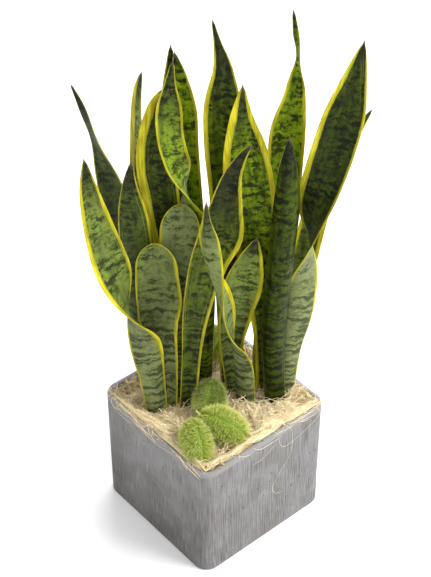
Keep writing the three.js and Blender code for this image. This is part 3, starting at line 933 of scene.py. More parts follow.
@dataclass(frozen=True)
class SisalMat:
    """Loose fibre heaped along the walls, with single strands on and over it.

    The first sizes are the frame's. The heap, the sink and the tufts stand on its surface:
    the fibre is fluffed up along the walls and sinks where the mat is bare among the leaves.
    """

    pot: Pot = Pot()
    soil_top: float = 150.0
    clearance: float = 0.4
    level: float = 178.0
    bank: float = 9.0
    bank_start: float = 60.0
    dip: float = 12.0
    dip_spread: float = 24.0
    dip_centre: float = -92.0
    ripple: float = 1.5
    ripple_spread: tuple[float, float] = (17.0, 13.0)
    heap: float = 3.0
    sink: float = 4.0
    heap_start: float = 84.0
    tuft_height: float = 3.2
    tuft_spread: tuple[float, float] = (13.0, 5.5)
    tuft_strands: int = 11
    wall_zone: float = 70.0
    strand_points: int = 14
    rows: int = 84
    columns: int = 400
    nest_side: tuple[float, float] = (18.0, 96.0)
    nest_depth: tuple[float, float] = (-34.0, -4.0)
    # Side, depth and reach of each bare patch.
    clumps: tuple[tuple[float, float, float], ...] = ((-55, 22, 40), (-20, 55, 34), (66, 22, 36))
    # Middle in plan, heading in radians, length, width and number of fibres of each bundle.
    bundles: tuple[tuple[float, float, float, float, float, int], ...] = (
        (90, 40, 1.45, 90, 13, 150), (97, -20, 1.6, 70, 8, 80), (-40, -97, 0.05, 96, 8, 110),
        (30, -98, -0.1, 80, 6, 60), (72, 66, 2.2, 60, 12, 90), (70, -30, 1.2, 50, 7, 60),
        (-74, -70, 0.7, 50, 8, 60), (96, -66, 1.5, 44, 6, 40),
    )

    @property
    def inner_half(self) -> float:
        """Half the width between the pot's inner walls."""
        return self.pot.side / 2 - self.pot.wall

    def height(self, x: Array, y: Array) -> Array:
        """Height of the mat in the CAD model.

        Args:
            x: First place in plan.
            y: Second place in plan.

        Returns:
            Its height at each place, without tufts.
        """
        out = np.maximum(np.abs(x), np.abs(y))
        bank = ease((out - self.bank_start) / (self.inner_half - self.bank_start))
        gap = (x - self.dip_centre) ** 2 + (y - self.dip_centre) ** 2
        dip = np.exp(-gap / (2 * self.dip_spread**2))
        wide, deep = self.ripple_spread
        ripple = self.ripple * np.sin(x / wide + 1) * np.cos(y / deep)
        return self.level + self.bank * bank - self.dip * dip + ripple

    def fluff(self, x: Array, y: Array) -> Array:
        """Height of the mat with its tufts.

        Args:
            x: First place in plan.
            y: Second place in plan.

        Returns:
            Its height at each place.
        """
        out = np.maximum(np.abs(x), np.abs(y))
        heap = self.heap * ease((out - self.heap_start) / (self.inner_half - self.heap_start))
        return self.height(x, y) + heap + self.tufts(x, y) - self.sink * self.bare(x, y)

    def tufts(self, x: Array, y: Array) -> Array:
        """Height of the tufts over the smooth mat.

        Args:
            x: First place in plan.
            y: Second place in plan.

        Returns:
            Their height at each place, which may be below 0.
        """
        coarse, fine = self.tuft_spread
        return (self.tuft_height * Drift(21).at(x / coarse + 30, y / coarse + 30)
                + self.tuft_height * 0.5 * Drift(22).at(x / fine + 30, y / fine + 30))

    def bare(self, x: Array, y: Array) -> Array:
        """How bare the mat is among the leaves, from 0 to 1.

        Args:
            x: First place in plan.
            y: Second place in plan.

        Returns:
            One share for each place.
        """
        turn = math.radians(PLANT_TURN)
        side = x * math.cos(turn) + y * math.sin(turn)
        depth = y * math.cos(turn) - x * math.sin(turn)
        share = [np.exp(-(((side - s) ** 2 + (depth - d) ** 2) / (2 * (0.55 * w) ** 2)) ** 2)
                 for s, d, w in self.clumps]
        return np.clip(sum(share), 0, 1)

    def warm(self, x: Array, y: Array) -> Array:
        """How orange the fibre is, from 0 to 1.

        Args:
            x: First place in plan.
            y: Second place in plan.

        Returns:
            One share for each place.
        """
        spots = ((98, 62, 16), (96, 10, 12), (70, -50, 12), (52, -88, 10))
        share = [np.exp(-((x - a) ** 2 + (y - b) ** 2) / (2 * w**2)) for a, b, w in spots]
        return np.clip(sum(share), 0, 1)

    def body(self, finish: bpy.types.Material) -> bpy.types.Object:
        """Makes the matted body.

        Args:
            finish: Its material.

        Returns:
            The body, closed underneath.
        """
        half = self.inner_half - self.clearance
        radius = self.pot.corner - self.pot.wall - self.clearance
        rows, columns = self.rows, self.columns
        rings = []
        for share in np.linspace(1, 0.02, rows):
            plan, _ = square_ring(half * share, radius * share, columns)
            top = self.fluff(plan[:, 0], plan[:, 1])
            rings.append(np.column_stack([plan, top]))
        under = rings[0].copy()
        under[:, 2] = self.soil_top + self.clearance
        points = np.vstack([under[None], np.array(rings)]).reshape(-1, 3)
        last = rows * columns + np.arange(columns)
        skin = Skin()
        skin.add(
            points,
            [strip_faces(rows + 1, columns, True), last[None], np.arange(columns)[::-1][None]],
            {"bare": self.bare(points[:, 0], points[:, 1]),
             "warm": self.warm(points[:, 0], points[:, 1]),
             # painted shade in the hollows between tufts
             "hollow": ease(0.35 - self.tufts(points[:, 0], points[:, 1]) / self.tuft_height)},
        )
        return skin.build("sisal_body", finish)

    def drape(self, x: Array, y: Array, lift: Array) -> Array:
        """Lays points on the mat, over the rim, or down the pot's outer face.

        Args:
            x: First place in plan.
            y: Second place in plan.
            lift: Height above what the points lie on.

        Returns:
            The points.
        """
        outer = self.pot.side / 2
        out = np.maximum(np.abs(x), np.abs(y))
        over = np.maximum(out - outer, 0.0)
        climb = ease((out - self.inner_half + 5.0) / 6.0)
        rim = self.pot.height - np.maximum(out - outer + 3.0, 0.0) ** 2 * 0.25
        top = self.fluff(x, y) * (1 - climb) + np.maximum(rim, self.pot.height - 3) * climb
        limit = outer + 0.5 + np.minimum(over * 0.15, 1.5)
        z = top - over + lift
        hang = over > 0
        lateral = np.where(hang, lift * 0.6, 0.0)
        return np.stack([np.clip(x, -limit - lateral, limit + lateral),
                         np.clip(y, -limit - lateral, limit + lateral), z], axis=-1)

    def layer(self, seed: int, count: int, length: tuple[float, float], curl: float,
              rise: float, tint: tuple[float, float], radius: tuple[float, float]) -> Skin:
        """One layer of strands that lie in tufts all over the mat.

        Args:
            seed: Which random layer this is.
            count: Number of strands.
            length: Least and greatest length.
            curl: How much a strand bends, in radians over its length.
            rise: How high a strand arches, in millimetres.
            tint: Least and greatest tint.
            radius: Least and greatest radius.

        Returns:
            The strands.
        """
        random = np.random.default_rng(seed)
        steps = self.strand_points
        tufts = count // self.tuft_strands
        tuft = random.integers(0, tufts, count)
        span = self.inner_half - 2.0
        middle = random.uniform(-span, span, (tufts, 2))
        heading = random.uniform(0, 2 * math.pi, tufts)
        wall = np.where(np.abs(middle[:, 0]) > np.abs(middle[:, 1]), math.pi / 2, 0.0)
        near_wall = np.abs(middle).max(1) > self.wall_zone
        heading = np.where(near_wall & (random.random(tufts) < 0.75),
                           wall + random.normal(0, 0.35, tufts), heading)
        start = middle[tuft] + random.normal(0, 7, (count, 2))
        angle = heading[tuft] + random.normal(0, 0.28, count)
        length = random.uniform(*length, count)
        bend = random.normal(0, curl, (tufts, 2))[tuft] + random.normal(0, curl * 0.6, (count, 2))
        t = np.linspace(-0.5, 0.5, steps)
        turn = angle[:, None] + bend[:, :1] * t + bend[:, 1:] * (4 * t**2 - 0.33)
        step = length[:, None] / (steps - 1)
        back = 0.5 * length[:, None]
        x = start[:, :1] + np.cumsum(np.cos(turn) * step, axis=1) - back * np.cos(angle)[:, None]
        y = start[:, 1:] + np.cumsum(np.sin(turn) * step, axis=1) - back * np.sin(angle)[:, None]
        inside = self.inner_half - 1.0
        x, y = (fold_back(values, inside) for values in (x, y))
        lift = 0.25 + random.exponential(rise, count)[:, None] * (1 - (2 * t) ** 2)
        paths = self.drape(x, y, lift + random.uniform(0, 0.9, count)[:, None])
        thin = tapered(random.uniform(*radius, count), 2 * t, 0.7, 3)
        bare = self.bare(paths[:, :, 0].mean(1), paths[:, :, 1].mean(1))
        shown = bare < random.uniform(0.2, 1.3, count)
        hue = random.uniform(*tint, count)[:, None] * np.ones(steps)
        skin = Skin()
        skin.add_strands(paths[shown], thin[shown], {"tint": hue[shown]})
        return skin

    def overhang(self) -> Skin:
        """Strands that stray over the rim, most of them at the left side.

        Returns:
            The strands.
        """
        random = np.random.default_rng(41)
        count, steps = 250, 16
        half = self.pot.side / 2
        along = np.where(random.random(count) < 0.75, random.uniform(-102, -35, count),
                         random.uniform(-35, 70, count))
        on_left = random.random(count) < 0.66
        along = np.where(on_left, along, -along)
        crosses = random.random(count) < 0.55
        angle = np.where(crosses, random.normal(1.2, 0.7, count), random.normal(0, 0.35, count))
        length = np.where(crosses, random.uniform(10, 26, count), random.uniform(22, 56, count))
        start = half - np.where(crosses, random.uniform(14, 24, count),
                                random.uniform(2, 16, count))
        bend = random.normal(0, 1.3, count)
        t = np.linspace(0, 1, steps)
        turn = angle[:, None] + bend[:, None] * (t - 0.5)
        step = length[:, None] / (steps - 1)
        a = along[:, None] + np.cumsum(np.cos(turn) * step, axis=1)
        b = start[:, None] + np.cumsum(np.sin(turn) * step, axis=1)
        limit = half - 2.5 + random.exponential(2.2, count)[:, None]
        b = np.minimum(b, limit + 0.15 * np.maximum(b - limit, 0))
        a = fold_back(a, half - 8)
        x = np.where(on_left[:, None], a, b)
        y = np.where(on_left[:, None], -b, a)
        lift = 0.4 + random.exponential(1.3, count)[:, None] * np.sin(math.pi * t)
        paths = self.drape(x, y, lift)
        radii = tapered(random.uniform(0.2, 0.36, count), 2 * t - 1, 0.75, 3)
        skin = Skin()
        hue = random.uniform(0.35, 1.0, count)[:, None]
        skin.add_strands(paths, radii, {"tint": hue})
        return skin

    def tow(self, skin: Skin) -> None:
        """Adds the combed bundles that lie along the walls, level with the rim.

        Args:
            skin: The mesh that they join.
        """
        random = np.random.default_rng(45)
        steps = 26
        t = np.linspace(-0.5, 0.5, steps)
        for x, y, heading, length, width, count in self.bundles:
            across = random.normal(0, width / 2, count)[:, None]
            along = random.normal(0, length * 0.12, count)[:, None] + t * length
            sway = (width * 0.35 * np.sin(along / length * 5 + x) + across
                    * (1 + 0.5 * np.sin(along / length * 3 + y))
                    + random.normal(0, 1.6, count)[:, None] * np.sin(t * 9 + across))
            c, s = math.cos(heading), math.sin(heading)
            inside = self.inner_half + 3.0
            px = fold_back(x + along * c - sway * s, inside)
            py = fold_back(y + along * s + sway * c, inside)
            crown = 3.4 * np.exp(-((across / width) ** 2)) * (1 - (2 * t) ** 4)
            lift = 0.4 + crown * random.uniform(0.5, 1.1, count)[:, None]
            radii = tapered(random.uniform(0.22, 0.36, count), 2 * t, 0.7, 4)
            hue = random.uniform(0.6, 1.0, count)[:, None]
            skin.add_strands(self.drape(px, py, lift), radii, {"tint": hue})

    def nest(self, skin: Skin) -> None:
        """Adds the loose curls round the foot of the right clump.

        Args:
            skin: The mesh that they join.
        """
        random = np.random.default_rng(43)
        count, steps = 240, 18
        middle = [[random.uniform(*self.nest_side), random.uniform(*self.nest_depth), 0]
                  for _ in range(count)]
        centre = from_plant(np.array(middle))
        radius = random.uniform(3.5, 12, count)[:, None]
        turns = random.uniform(0.5, 1.25, count)[:, None]
        t = np.linspace(0, 1, steps)
        angle = random.uniform(0, 6.28, count)[:, None] + 2 * math.pi * turns * t
        squeeze = random.uniform(0.5, 1, count)[:, None]
        x = centre[:, :1] + radius * np.cos(angle) + random.normal(0, 9, count)[:, None] * t
        y = centre[:, 1:2] + radius * squeeze * np.sin(angle)
        inside = self.inner_half - 1.0
        x, y = fold_back(x, inside), fold_back(y, inside)
        rise = random.uniform(1, 8.5, count)[:, None] * np.sin(math.pi * t) ** 2
        paths = self.drape(x, y, 0.4 + rise)
        radii = tapered(random.uniform(0.3, 0.48, count), 2 * t - 1, 0.7, 4)
        skin.add_strands(paths, radii, {"tint": random.uniform(0.55, 1, count)[:, None]})

    def collars(self, skin: Skin, feet: Array) -> None:
        """Adds the fibres heaped round the foot of each leaf.

        Args:
            skin: The mesh that they join.
            feet: Place in plan where each leaf leaves the mat.
        """
        random = np.random.default_rng(44)
        each, steps = 46, 16
        foot = np.repeat(feet, each, axis=0)
        count = len(foot)
        t = np.linspace(0, 1, steps)
        sweep = random.uniform(0.7, 2.0, count) * random.choice([-1, 1], count)
        angle = random.uniform(0, 2 * math.pi, count)[:, None] + sweep[:, None] * t
        radius = random.uniform(8, 25, count)[:, None]
        radius = radius * (1 + random.normal(0, 0.3, count)[:, None] * t)
        inside = self.inner_half - 1.0
        x = fold_back(foot[:, :1] + radius * np.cos(angle), inside)
        y = fold_back(foot[:, 1:2] + radius * np.sin(angle), inside)
        rise = random.uniform(0.5, 7, count)[:, None] * np.sin(math.pi * t) ** 1.5
        radii = tapered(random.uniform(0.28, 0.46, count), 2 * t - 1, 0.7, 4)
        hue = random.uniform(0.2, 0.95, count)[:, None]
        skin.add_strands(self.drape(x, y, 0.3 + rise), radii, {"tint": hue})


def fold_back(values: Array, limit: float) -> Array:
    """Values turned back where they pass plus or minus a limit."""
    past = np.maximum(np.abs(values) - limit, 0.0)
    return np.clip(values, -limit, limit) - np.sign(values) * np.minimum(past, limit) * 0.5


# ---- leaves -----------------------------------------------------------------------------


class Tip(Enum):
    """How a leaf ends."""

    POINT = "point"
    ROUND = "round"


@dataclass(frozen=True)
class Leaf:
    """One blade, swept along its stations as a curved channel.

    A station is side, depth, height, bearing and width. The bearing is the direction, in
    degrees, from the first margin to the second, and the width is measured over the curve.
    The margins are the widths of the two yellow edges. The bloom is how pale and waxy the
    hollow face is, and then the outer face. Lively is how bright the green is, partly the
    blade's own green and partly painted shade, lower on the blades that lie in shade. The folds
    are the angles of the channel's arc, in degrees, at the root and higher up. Dusk is how far
    the dark end reaches down from the tip, in millimetres.
    """

    name: str
    stations: tuple[tuple[float, ...], ...]
    margins: tuple[float, float] = (6.0, 6.0)
    bloom: tuple[float, float] = (0.1, 0.6)
    lively: float = 0.4
    folds: tuple[float, float] = (110.0, 50.0)
    tip: Tip = Tip.POINT
    dusk: float = 80.0
    seed: int = 0

    SPANS = 26
    RINGS = 116
    ROUND_FROM = 0.82
    ROUND_LEAST = 0.02
    END_RINGS = 30
    TIP_CROWD = 1.25
    SLOPE_STEP = 1e-3
    OPEN_AT = 0.45
    ROOT_THICKNESS = 4.6
    TIP_THICKNESS = 2.0
    THINNING = 0.72
    THINNING_POWER = 1.6
    STOUTNESS = 0.45
    EDGE_ROUND = 0.9
    WAVE = 1.3
    WOBBLE = 0.018
    FAR = 1e3
    # the foot bands and the painted foot shade fade out over these lengths along the blade
    FOOT_BANDS_AND_SHADE_END = 300.0
    FOOT_BANDS_AND_SHADE_FADE = 180.0
    PATTERN_SHIFT = 400.0
    SWELL = 0.22
    SWELL_LENGTH = 55.0
    FULL_MARGIN_WIDTH = 32.0
    BLOCK = 12

    def shares(self) -> Array:
        """Places of the rings along the blade, crowded where a round end closes.

        Returns:
            Shares of the length, from 0 at the root to 1 at the tip.
        """
        if self.tip is Tip.POINT:
            return 1 - (1 - np.linspace(0, 1, self.RINGS)) ** self.TIP_CROWD
        turn = np.linspace(0, math.pi / 2, self.END_RINGS)
        close = self.ROUND_FROM + (1 - self.ROUND_FROM) * np.sin(turn)
        before = np.linspace(0, self.ROUND_FROM, self.RINGS - self.END_RINGS + 1)[:-1]
        return np.concatenate([before, close])

    def widths(self, share: Array, rows: Array) -> Array:
        """Width over the curve at each ring, in millimetres.

        Args:
            share: Place of each ring along the blade.
            rows: The station, smoothed, at each ring.

        Returns:
            One width for each ring.
        """
        width = np.maximum(rows[:, 4], 1.0)
        if self.tip is Tip.ROUND:
            end = np.maximum((share - self.ROUND_FROM) / (1 - self.ROUND_FROM), 0)
            return width * np.sqrt(np.maximum(1 - end**2, self.ROUND_LEAST**2))
        wobble = Drift(self.seed + 60).at(share * 9, 0.5) * np.sin(math.pi * share)
        wobble = 1 + self.WOBBLE * wobble
        return width * wobble * (1 - 0.7 * ease((share - 0.97) / 0.03))

    def foot(self, height: float) -> Array:
        """Place in plan, in the pot's axes, where the blade passes a height."""
        rows = smooth_rows(np.array(self.stations, float), np.linspace(0, 0.5, 80))
        return from_plant(rows[np.argmin(np.abs(rows[:, 2] - height)), :3])[:2]

    def build(self, finish: bpy.types.Material) -> bpy.types.Object:
        """Makes the blade.

        Args:
            finish: Its material.

        Returns:
            The blade, a closed solid.
        """
        share = self.shares()
        stations = np.array(self.stations, float)
        rows = smooth_rows(stations, share)
        centre = from_plant(rows[:, :3])
        ahead = from_plant(smooth_rows(stations, share + self.SLOPE_STEP)[:, :3])
        behind = from_plant(smooth_rows(stations, share - self.SLOPE_STEP)[:, :3])
        along = unit(ahead - behind)
        bearing = np.radians(rows[:, 3])
        across = from_plant(np.stack([np.cos(bearing), np.sin(bearing), 0 * bearing], -1))
        across = unit(across - dot(across, along) * along)
        hollow = np.cross(along, across)
        width = self.widths(share, rows)
        fold = np.radians(self.folds[0] + (self.folds[1] - self.folds[0])
                          * ease(share / self.OPEN_AT))
        radius = width / fold
        sag = 0.5 * radius * (1 - np.cos(fold / 2))

        t = np.sin(np.linspace(-1, 1, self.SPANS + 1) * math.pi / 2)
        t = np.concatenate([t, t[-2:0:-1]])
        facing = np.concatenate([np.ones(self.SPANS + 1), -np.ones(self.SPANS - 1)])
        angle = fold[:, None] * t / 2
        thick = self.ROOT_THICKNESS + (self.TIP_THICKNESS - self.ROOT_THICKNESS) * share
        thick = thick[:, None] * (1 - self.THINNING * np.abs(t) ** self.THINNING_POWER)
        half = np.minimum(thick, self.STOUTNESS * width[:, None] + 0.3) / 2
        to_edge = (1 - np.abs(t)) * width[:, None]
        half = half * np.sqrt(np.clip(to_edge / self.EDGE_ROUND, 0, 1))
        wave = Drift(self.seed + 80).at(share[:, None] * 7, np.sign(t) * 3 + 9)
        wave = wave * self.WAVE * np.abs(t) ** 3 * np.sin(math.pi * np.clip(share, 0, 1))[:, None]
        cos, sin = np.cos(angle)[..., None], np.sin(angle)[..., None]
        normal = hollow[:, None] * cos - across[:, None] * sin
        sideways = radius[:, None, None] * sin
        inward = radius[:, None, None] * (1 - cos) - sag[:, None, None]
        points = (centre[:, None] + across[:, None] * sideways + hollow[:, None] * inward
                  + normal * (facing * half + wave)[..., None])

        rings, columns = len(share), len(t)
        length = np.concatenate([[0], np.cumsum(np.linalg.norm(np.diff(centre, axis=0), axis=1))])
        x = t * width[:, None] / 2
        y = np.broadcast_to(length[:, None], x.shape)
        rim, edge = self.rims(x, y, width / 2, length, share)
        bloom = np.where(facing > 0, self.bloom[0], self.bloom[1])
        bloom = bloom * (1.08 - 0.3 * share[:, None])
        to_tip = length[-1] - y
        dusk = ease((self.dusk - to_tip) / (0.8 * self.dusk))
        if self.tip is Tip.ROUND:
            to_tip = np.hypot(to_tip, x) + 5.0
        values = {
            "across_mm": x, "along_mm": y + self.PATTERN_SHIFT * self.seed, "rim_mm": rim,
            "edge_mm": edge, "tip_mm": to_tip, "bloom": bloom, "dusk": dusk,
            "lively": np.full(x.shape, self.lively),
            # low marks the foot of the blade, for its foot bands and for its painted shade
            "low": ease((self.FOOT_BANDS_AND_SHADE_END - y) / self.FOOT_BANDS_AND_SHADE_FADE),
        }
        skin = Skin()
        faces = strip_faces(rings, columns, True)[:, ::-1]
        skin.add(points, [faces, *self.caps(rings, columns)], values)
        return skin.build("blade_" + self.name, finish)

    def caps(self, rings: int, columns: int) -> list[Array]:
        """Faces that close the root and the tip.

        Args:
            rings: Number of rings.
            columns: Points in each ring.

        Returns:
            Arrays of quads and triangles.
        """
        step = np.arange(1, self.SPANS - 1)
        back = columns - step
        quads = np.stack([step, step + 1, back - 1, back], -1)
        tri = np.array([[0, 1, columns - 1], [self.SPANS - 1, self.SPANS, self.SPANS + 1]])
        last = (rings - 1) * columns
        return [quads, tri, quads[:, ::-1] + last, tri[:, ::-1] + last]

    def rims(self, x: Array, y: Array, half: Array, length: Array,
             share: Array) -> tuple[Array, Array]:
        """How far each point lies inside the green part and inside the outline.

        Args:
            x: Distance across the flattened blade.
            y: Distance along it.
            half: Half width at each ring.
            length: Distance along it at each ring.
            share: Place of each ring.

        Returns:
            Both distances in millimetres.
        """
        rim, edge = np.full(x.shape, self.FAR), np.full(x.shape, self.FAR)
        for side, margin in ((-1, self.margins[0]), (1, self.margins[1])):
            outline = np.column_stack([side * half, length])
            outline = np.vstack([outline, [0.0, length[-1] + 0.5]])
            gap = np.full(x.shape, self.FAR)
            for start in range(0, len(x), self.BLOCK):
                part = slice(start, start + self.BLOCK)
                block = np.stack([x[part], y[part]], -1)
                away = np.linalg.norm(block[:, :, None] - outline[None, None], axis=-1)
                gap[part] = away.min(-1)
            straight = half[:, None] - side * x
            gap = np.minimum(gap, np.maximum(straight, 0))
            swell = Drift(self.seed + 40 + side).at(length / self.SWELL_LENGTH, 0.5)
            swell = 1 + self.SWELL * swell
            grown = 0.55 + 0.45 * ease(share / 0.4)
            if self.tip is Tip.POINT:
                most = np.minimum(1.0, 2 * half / self.FULL_MARGIN_WIDTH)
            else:
                most = 1 - 0.5 * ease((share - 0.8) / 0.15)
            rim = np.minimum(rim, gap - (margin * swell * grown * most)[:, None])
            edge = np.minimum(edge, gap)
        return rim, edge


# Each leaf's lively value is partly its own green and partly painted shade.
LEAVES = (
    Leaf("left_sweeping", (
        (-73, -23, 140, 15, 30), (-80, -16, 220, 12, 36), (-85, -18, 270, 8, 42),
        (-92, -24, 320, -20, 46), (-108, -32, 380, -90, 50), (-125, -36, 445, -148, 48),
        (-138, -38, 505, -148, 40), (-147, -40, 565, -150, 24), (-149, -42, 610, -150, 3),
    ), (4, 6), (0.4, 0.95), 0.5, (110, 45), seed=1),
    Leaf("left_round_short", (
        (-61, -14, 140, 180, 24), (-62, -5, 250, 180, 32), (-71, -2, 320, 180, 50),
        (-70, 0, 360, 180, 60), (-72, 2, 410, 180, 56), (-74, 4, 450, 180, 50),
    ), (4.5, 2.5), (0.75, 0.9), 0.4, tip=Tip.ROUND, dusk=0.1, seed=2),
    Leaf("left_round_tall", (
        (-50, -2, 140, 180, 26), (-48, 8, 250, 180, 32), (-46, 10, 335, 180, 42),
        (-44, 14, 405, 180, 50), (-42, 16, 455, 180, 52), (-40, 18, 500, 180, 50),
    ), (2.5, 3), (0.95, 0.8), 0.4, tip=Tip.ROUND, dusk=0.1, seed=3),
    Leaf("left_leaning_in", (
        (-37, -18, 140, 180, 26), (-30, -8, 265, 180, 28), (-22, -7, 350, 180, 38),
        (-7, -6, 425, 180, 50), (8, -6, 470, 180, 58), (14, -6, 510, 180, 44),
        (21, -7, 555, 180, 26), (32, -8, 585, 180, 14), (45, -8, 605, 180, 3),
    ), (5, 1.8), (0.16, 0.5), 0.45, dusk=230, seed=4),
    Leaf("left_short_outer", (
        (-70, 11, 140, 0, 26), (-88, 22, 265, 0, 34), (-94, 22, 350, 0, 42),
        (-98, 22, 425, -5, 44), (-100, 22, 480, -5, 38), (-102, 22, 525, -5, 20),
        (-99, 22, 560, -5, 3),
    ), (2.4, 3.6), (0.2, 0.2), 0.22, dusk=70, seed=5),
    Leaf("left_tall_outer", (
        (-88, 31, 140, 150, 26), (-96, 44, 245, 150, 32), (-107, 48, 355, 150, 42),
        (-119, 52, 455, 150, 48), (-130, 54, 520, 145, 42), (-145, 54, 575, 125, 22),
        (-157, 54, 620, 150, 12), (-168, 54, 650, 150, 3),
    ), (3, 1.6), (0.0, 0.0), 0.16, dusk=90, seed=6),
    Leaf("left_slim", (
        (-66, 43, 140, 150, 26), (-81, 58, 275, 150, 34), (-88, 62, 395, 140, 42),
        (-91, 62, 490, 130, 42), (-92, 60, 565, 120, 36), (-90, 58, 625, 120, 24),
        (-84, 56, 665, 130, 3),
    ), (3, 9), (0.0, 0.0), 2.0, seed=7),
    Leaf("left_wide_margin", (
        (-46, 18, 140, 180, 26), (-53, 30, 300, 180, 36), (-55, 34, 400, 180, 42),
        (-63, 36, 485, 180, 46), (-69, 36, 535, 180, 50), (-69, 36, 585, 180, 44),
        (-65, 34, 630, 180, 26), (-59, 34, 655, 180, 3),
    ), (3.5, 10.5), (0.0, 0.5), 0.2, seed=8),
    Leaf("left_twisted", (
        (-15, 31, 140, 0, 26), (-15, 38, 285, 0, 36), (-18, 36, 380, 0, 44),
        (-24, 32, 455, -20, 44), (-33, 28, 515, -90, 38), (-45, 26, 560, -165, 34),
        (-51, 24, 595, -180, 34), (-52, 22, 635, -180, 32), (-50, 22, 670, -180, 14),
        (-46, 22, 700, -180, 3),
    ), (3, 3), (0.2, 0.05), 1.0, (110, 45), dusk=115, seed=9),
    Leaf("left_rear_tall", (
        (-28, 57, 140, 180, 26), (-23, 66, 270, 180, 36), (-30, 66, 390, 180, 44),
        (-35, 66, 485, 180, 44), (-39, 64, 555, 180, 44), (-38, 62, 610, 180, 38),
        (-40, 60, 655, 180, 20), (-45, 58, 690, 180, 3),
    ), (3.6, 4), (0.0, 0.5), 2.0, dusk=50, seed=10),
    Leaf("left_rearmost", (
        (-44, 75, 140, 180, 26), (-43, 86, 285, 180, 36), (-52, 88, 405, 180, 44),
        (-53, 88, 485, 180, 44), (-52, 88, 560, 180, 38), (-50, 86, 630, 180, 22),
        (-50, 84, 685, 180, 3),
    ), (3, 4), (0.0, 0.5), 0.2, seed=11),
    Leaf("right_inner_tall", (
        (24, 31, 140, 180, 28), (22, 46, 285, 180, 38), (21, 50, 405, 180, 46),
        (19, 50, 490, 180, 50), (13, 50, 565, 180, 50), (11, 48, 625, 180, 46),
        (11, 46, 675, 180, 24), (5, 44, 710, 170, 10), (-1, 44, 740, 160, 3),
    ), (2.6, 5.5), (0.0, 0.5), 0.3, dusk=165, seed=12),
    Leaf("right_broad", (
        (70, 24, 140, 180, 26), (69, 33, 265, 180, 34), (61, 29, 360, 180, 48),
        (52, 25, 455, 180, 62), (43, 25, 525, 180, 64), (38, 26, 575, 180, 54),
        (33, 26, 620, 180, 30), (34, 26, 665, 180, 3),
    ), (7.5, 9.5), (0.0, 0.5), 0.85, (110, 60), dusk=110, seed=13),
    Leaf("right_rear_needle", (
        (63, 38, 140, 180, 26), (70, 45, 275, 180, 34), (85, 61, 410, 180, 46),
        (88, 66, 500, 180, 48), (91, 66, 575, 180, 46), (98, 66, 630, 180, 26),
        (100, 66, 675, 120, 10), (96, 66, 710, 160, 8), (92, 66, 740, 180, 3),
    ), (4, 4.5), (0.0, 0.5), 1.0, dusk=60, seed=14),
    Leaf("right_tall_outer", (
        (96, 12, 140, 10, 30), (101, 20, 240, 10, 36), (111, 20, 310, 12, 44),
        (117, 20, 375, 30, 46), (120, 18, 430, 80, 48), (122, 16, 485, 130, 50),
        (132, 14, 535, 160, 52), (143, 14, 585, 175, 54), (153, 14, 635, 180, 50),
        (162, 14, 685, 180, 28), (170, 14, 730, 180, 3),
    ), (3, 6.5), (0.0, 1.0), 0.1, (110, 45), dusk=45, seed=15),
    Leaf("right_rearmost", (
        (86, 33, 140, 180, 22), (91, 41, 205, 180, 24), (106, 64, 290, 180, 30),
        (118, 69, 365, 180, 36), (128, 68, 430, 180, 36), (138, 65, 480, 180, 34),
        (150, 64, 520, 180, 30), (164, 62, 555, 180, 22), (178, 60, 585, 180, 12),
        (191, 58, 610, 180, 3),
    ), (5, 5), (0.1, 0.5), 0.4, seed=16),
    Leaf("right_rolled", (
        (86, -5, 140, 0, 32), (79, 5, 265, 0, 44), (80, 1, 355, 0, 52),
        (86, -1, 450, 0, 52), (89, 0, 510, 0, 52), (89, 0, 565, 0, 34), (89, 0, 610, 0, 3),
    ), (2.5, 2.5), (0.06, 0.0), 0.22, (150, 190), seed=17),
    Leaf("right_crossing", (
        (42, -1, 140, -30, 32), (39, 2, 225, -35, 38), (32, -6, 280, -60, 42),
        (22, -18, 330, -98, 46), (11, -32, 390, -98, 48), (-1, -40, 440, -60, 42),
        (-7, -43, 490, -28, 30), (-9, -45, 520, -10, 12), (-9, -46, 550, 0, 3),
    ), (7, 3), (0.8, 1.0), 1.2, (130, 80), seed=18),
    Leaf("right_short", (
        (34, 13, 140, 180, 24), (24, 18, 255, 180, 32), (29, 14, 325, 180, 46),
        (37, 10, 375, 180, 52), (46, 8, 420, 180, 34), (54, 8, 455, 180, 3),
    ), (5, 2.2), (0.6, 0.5), 1.0, dusk=40, seed=19),
)


# ---- seed pods ----------------------------------------------------------------------------


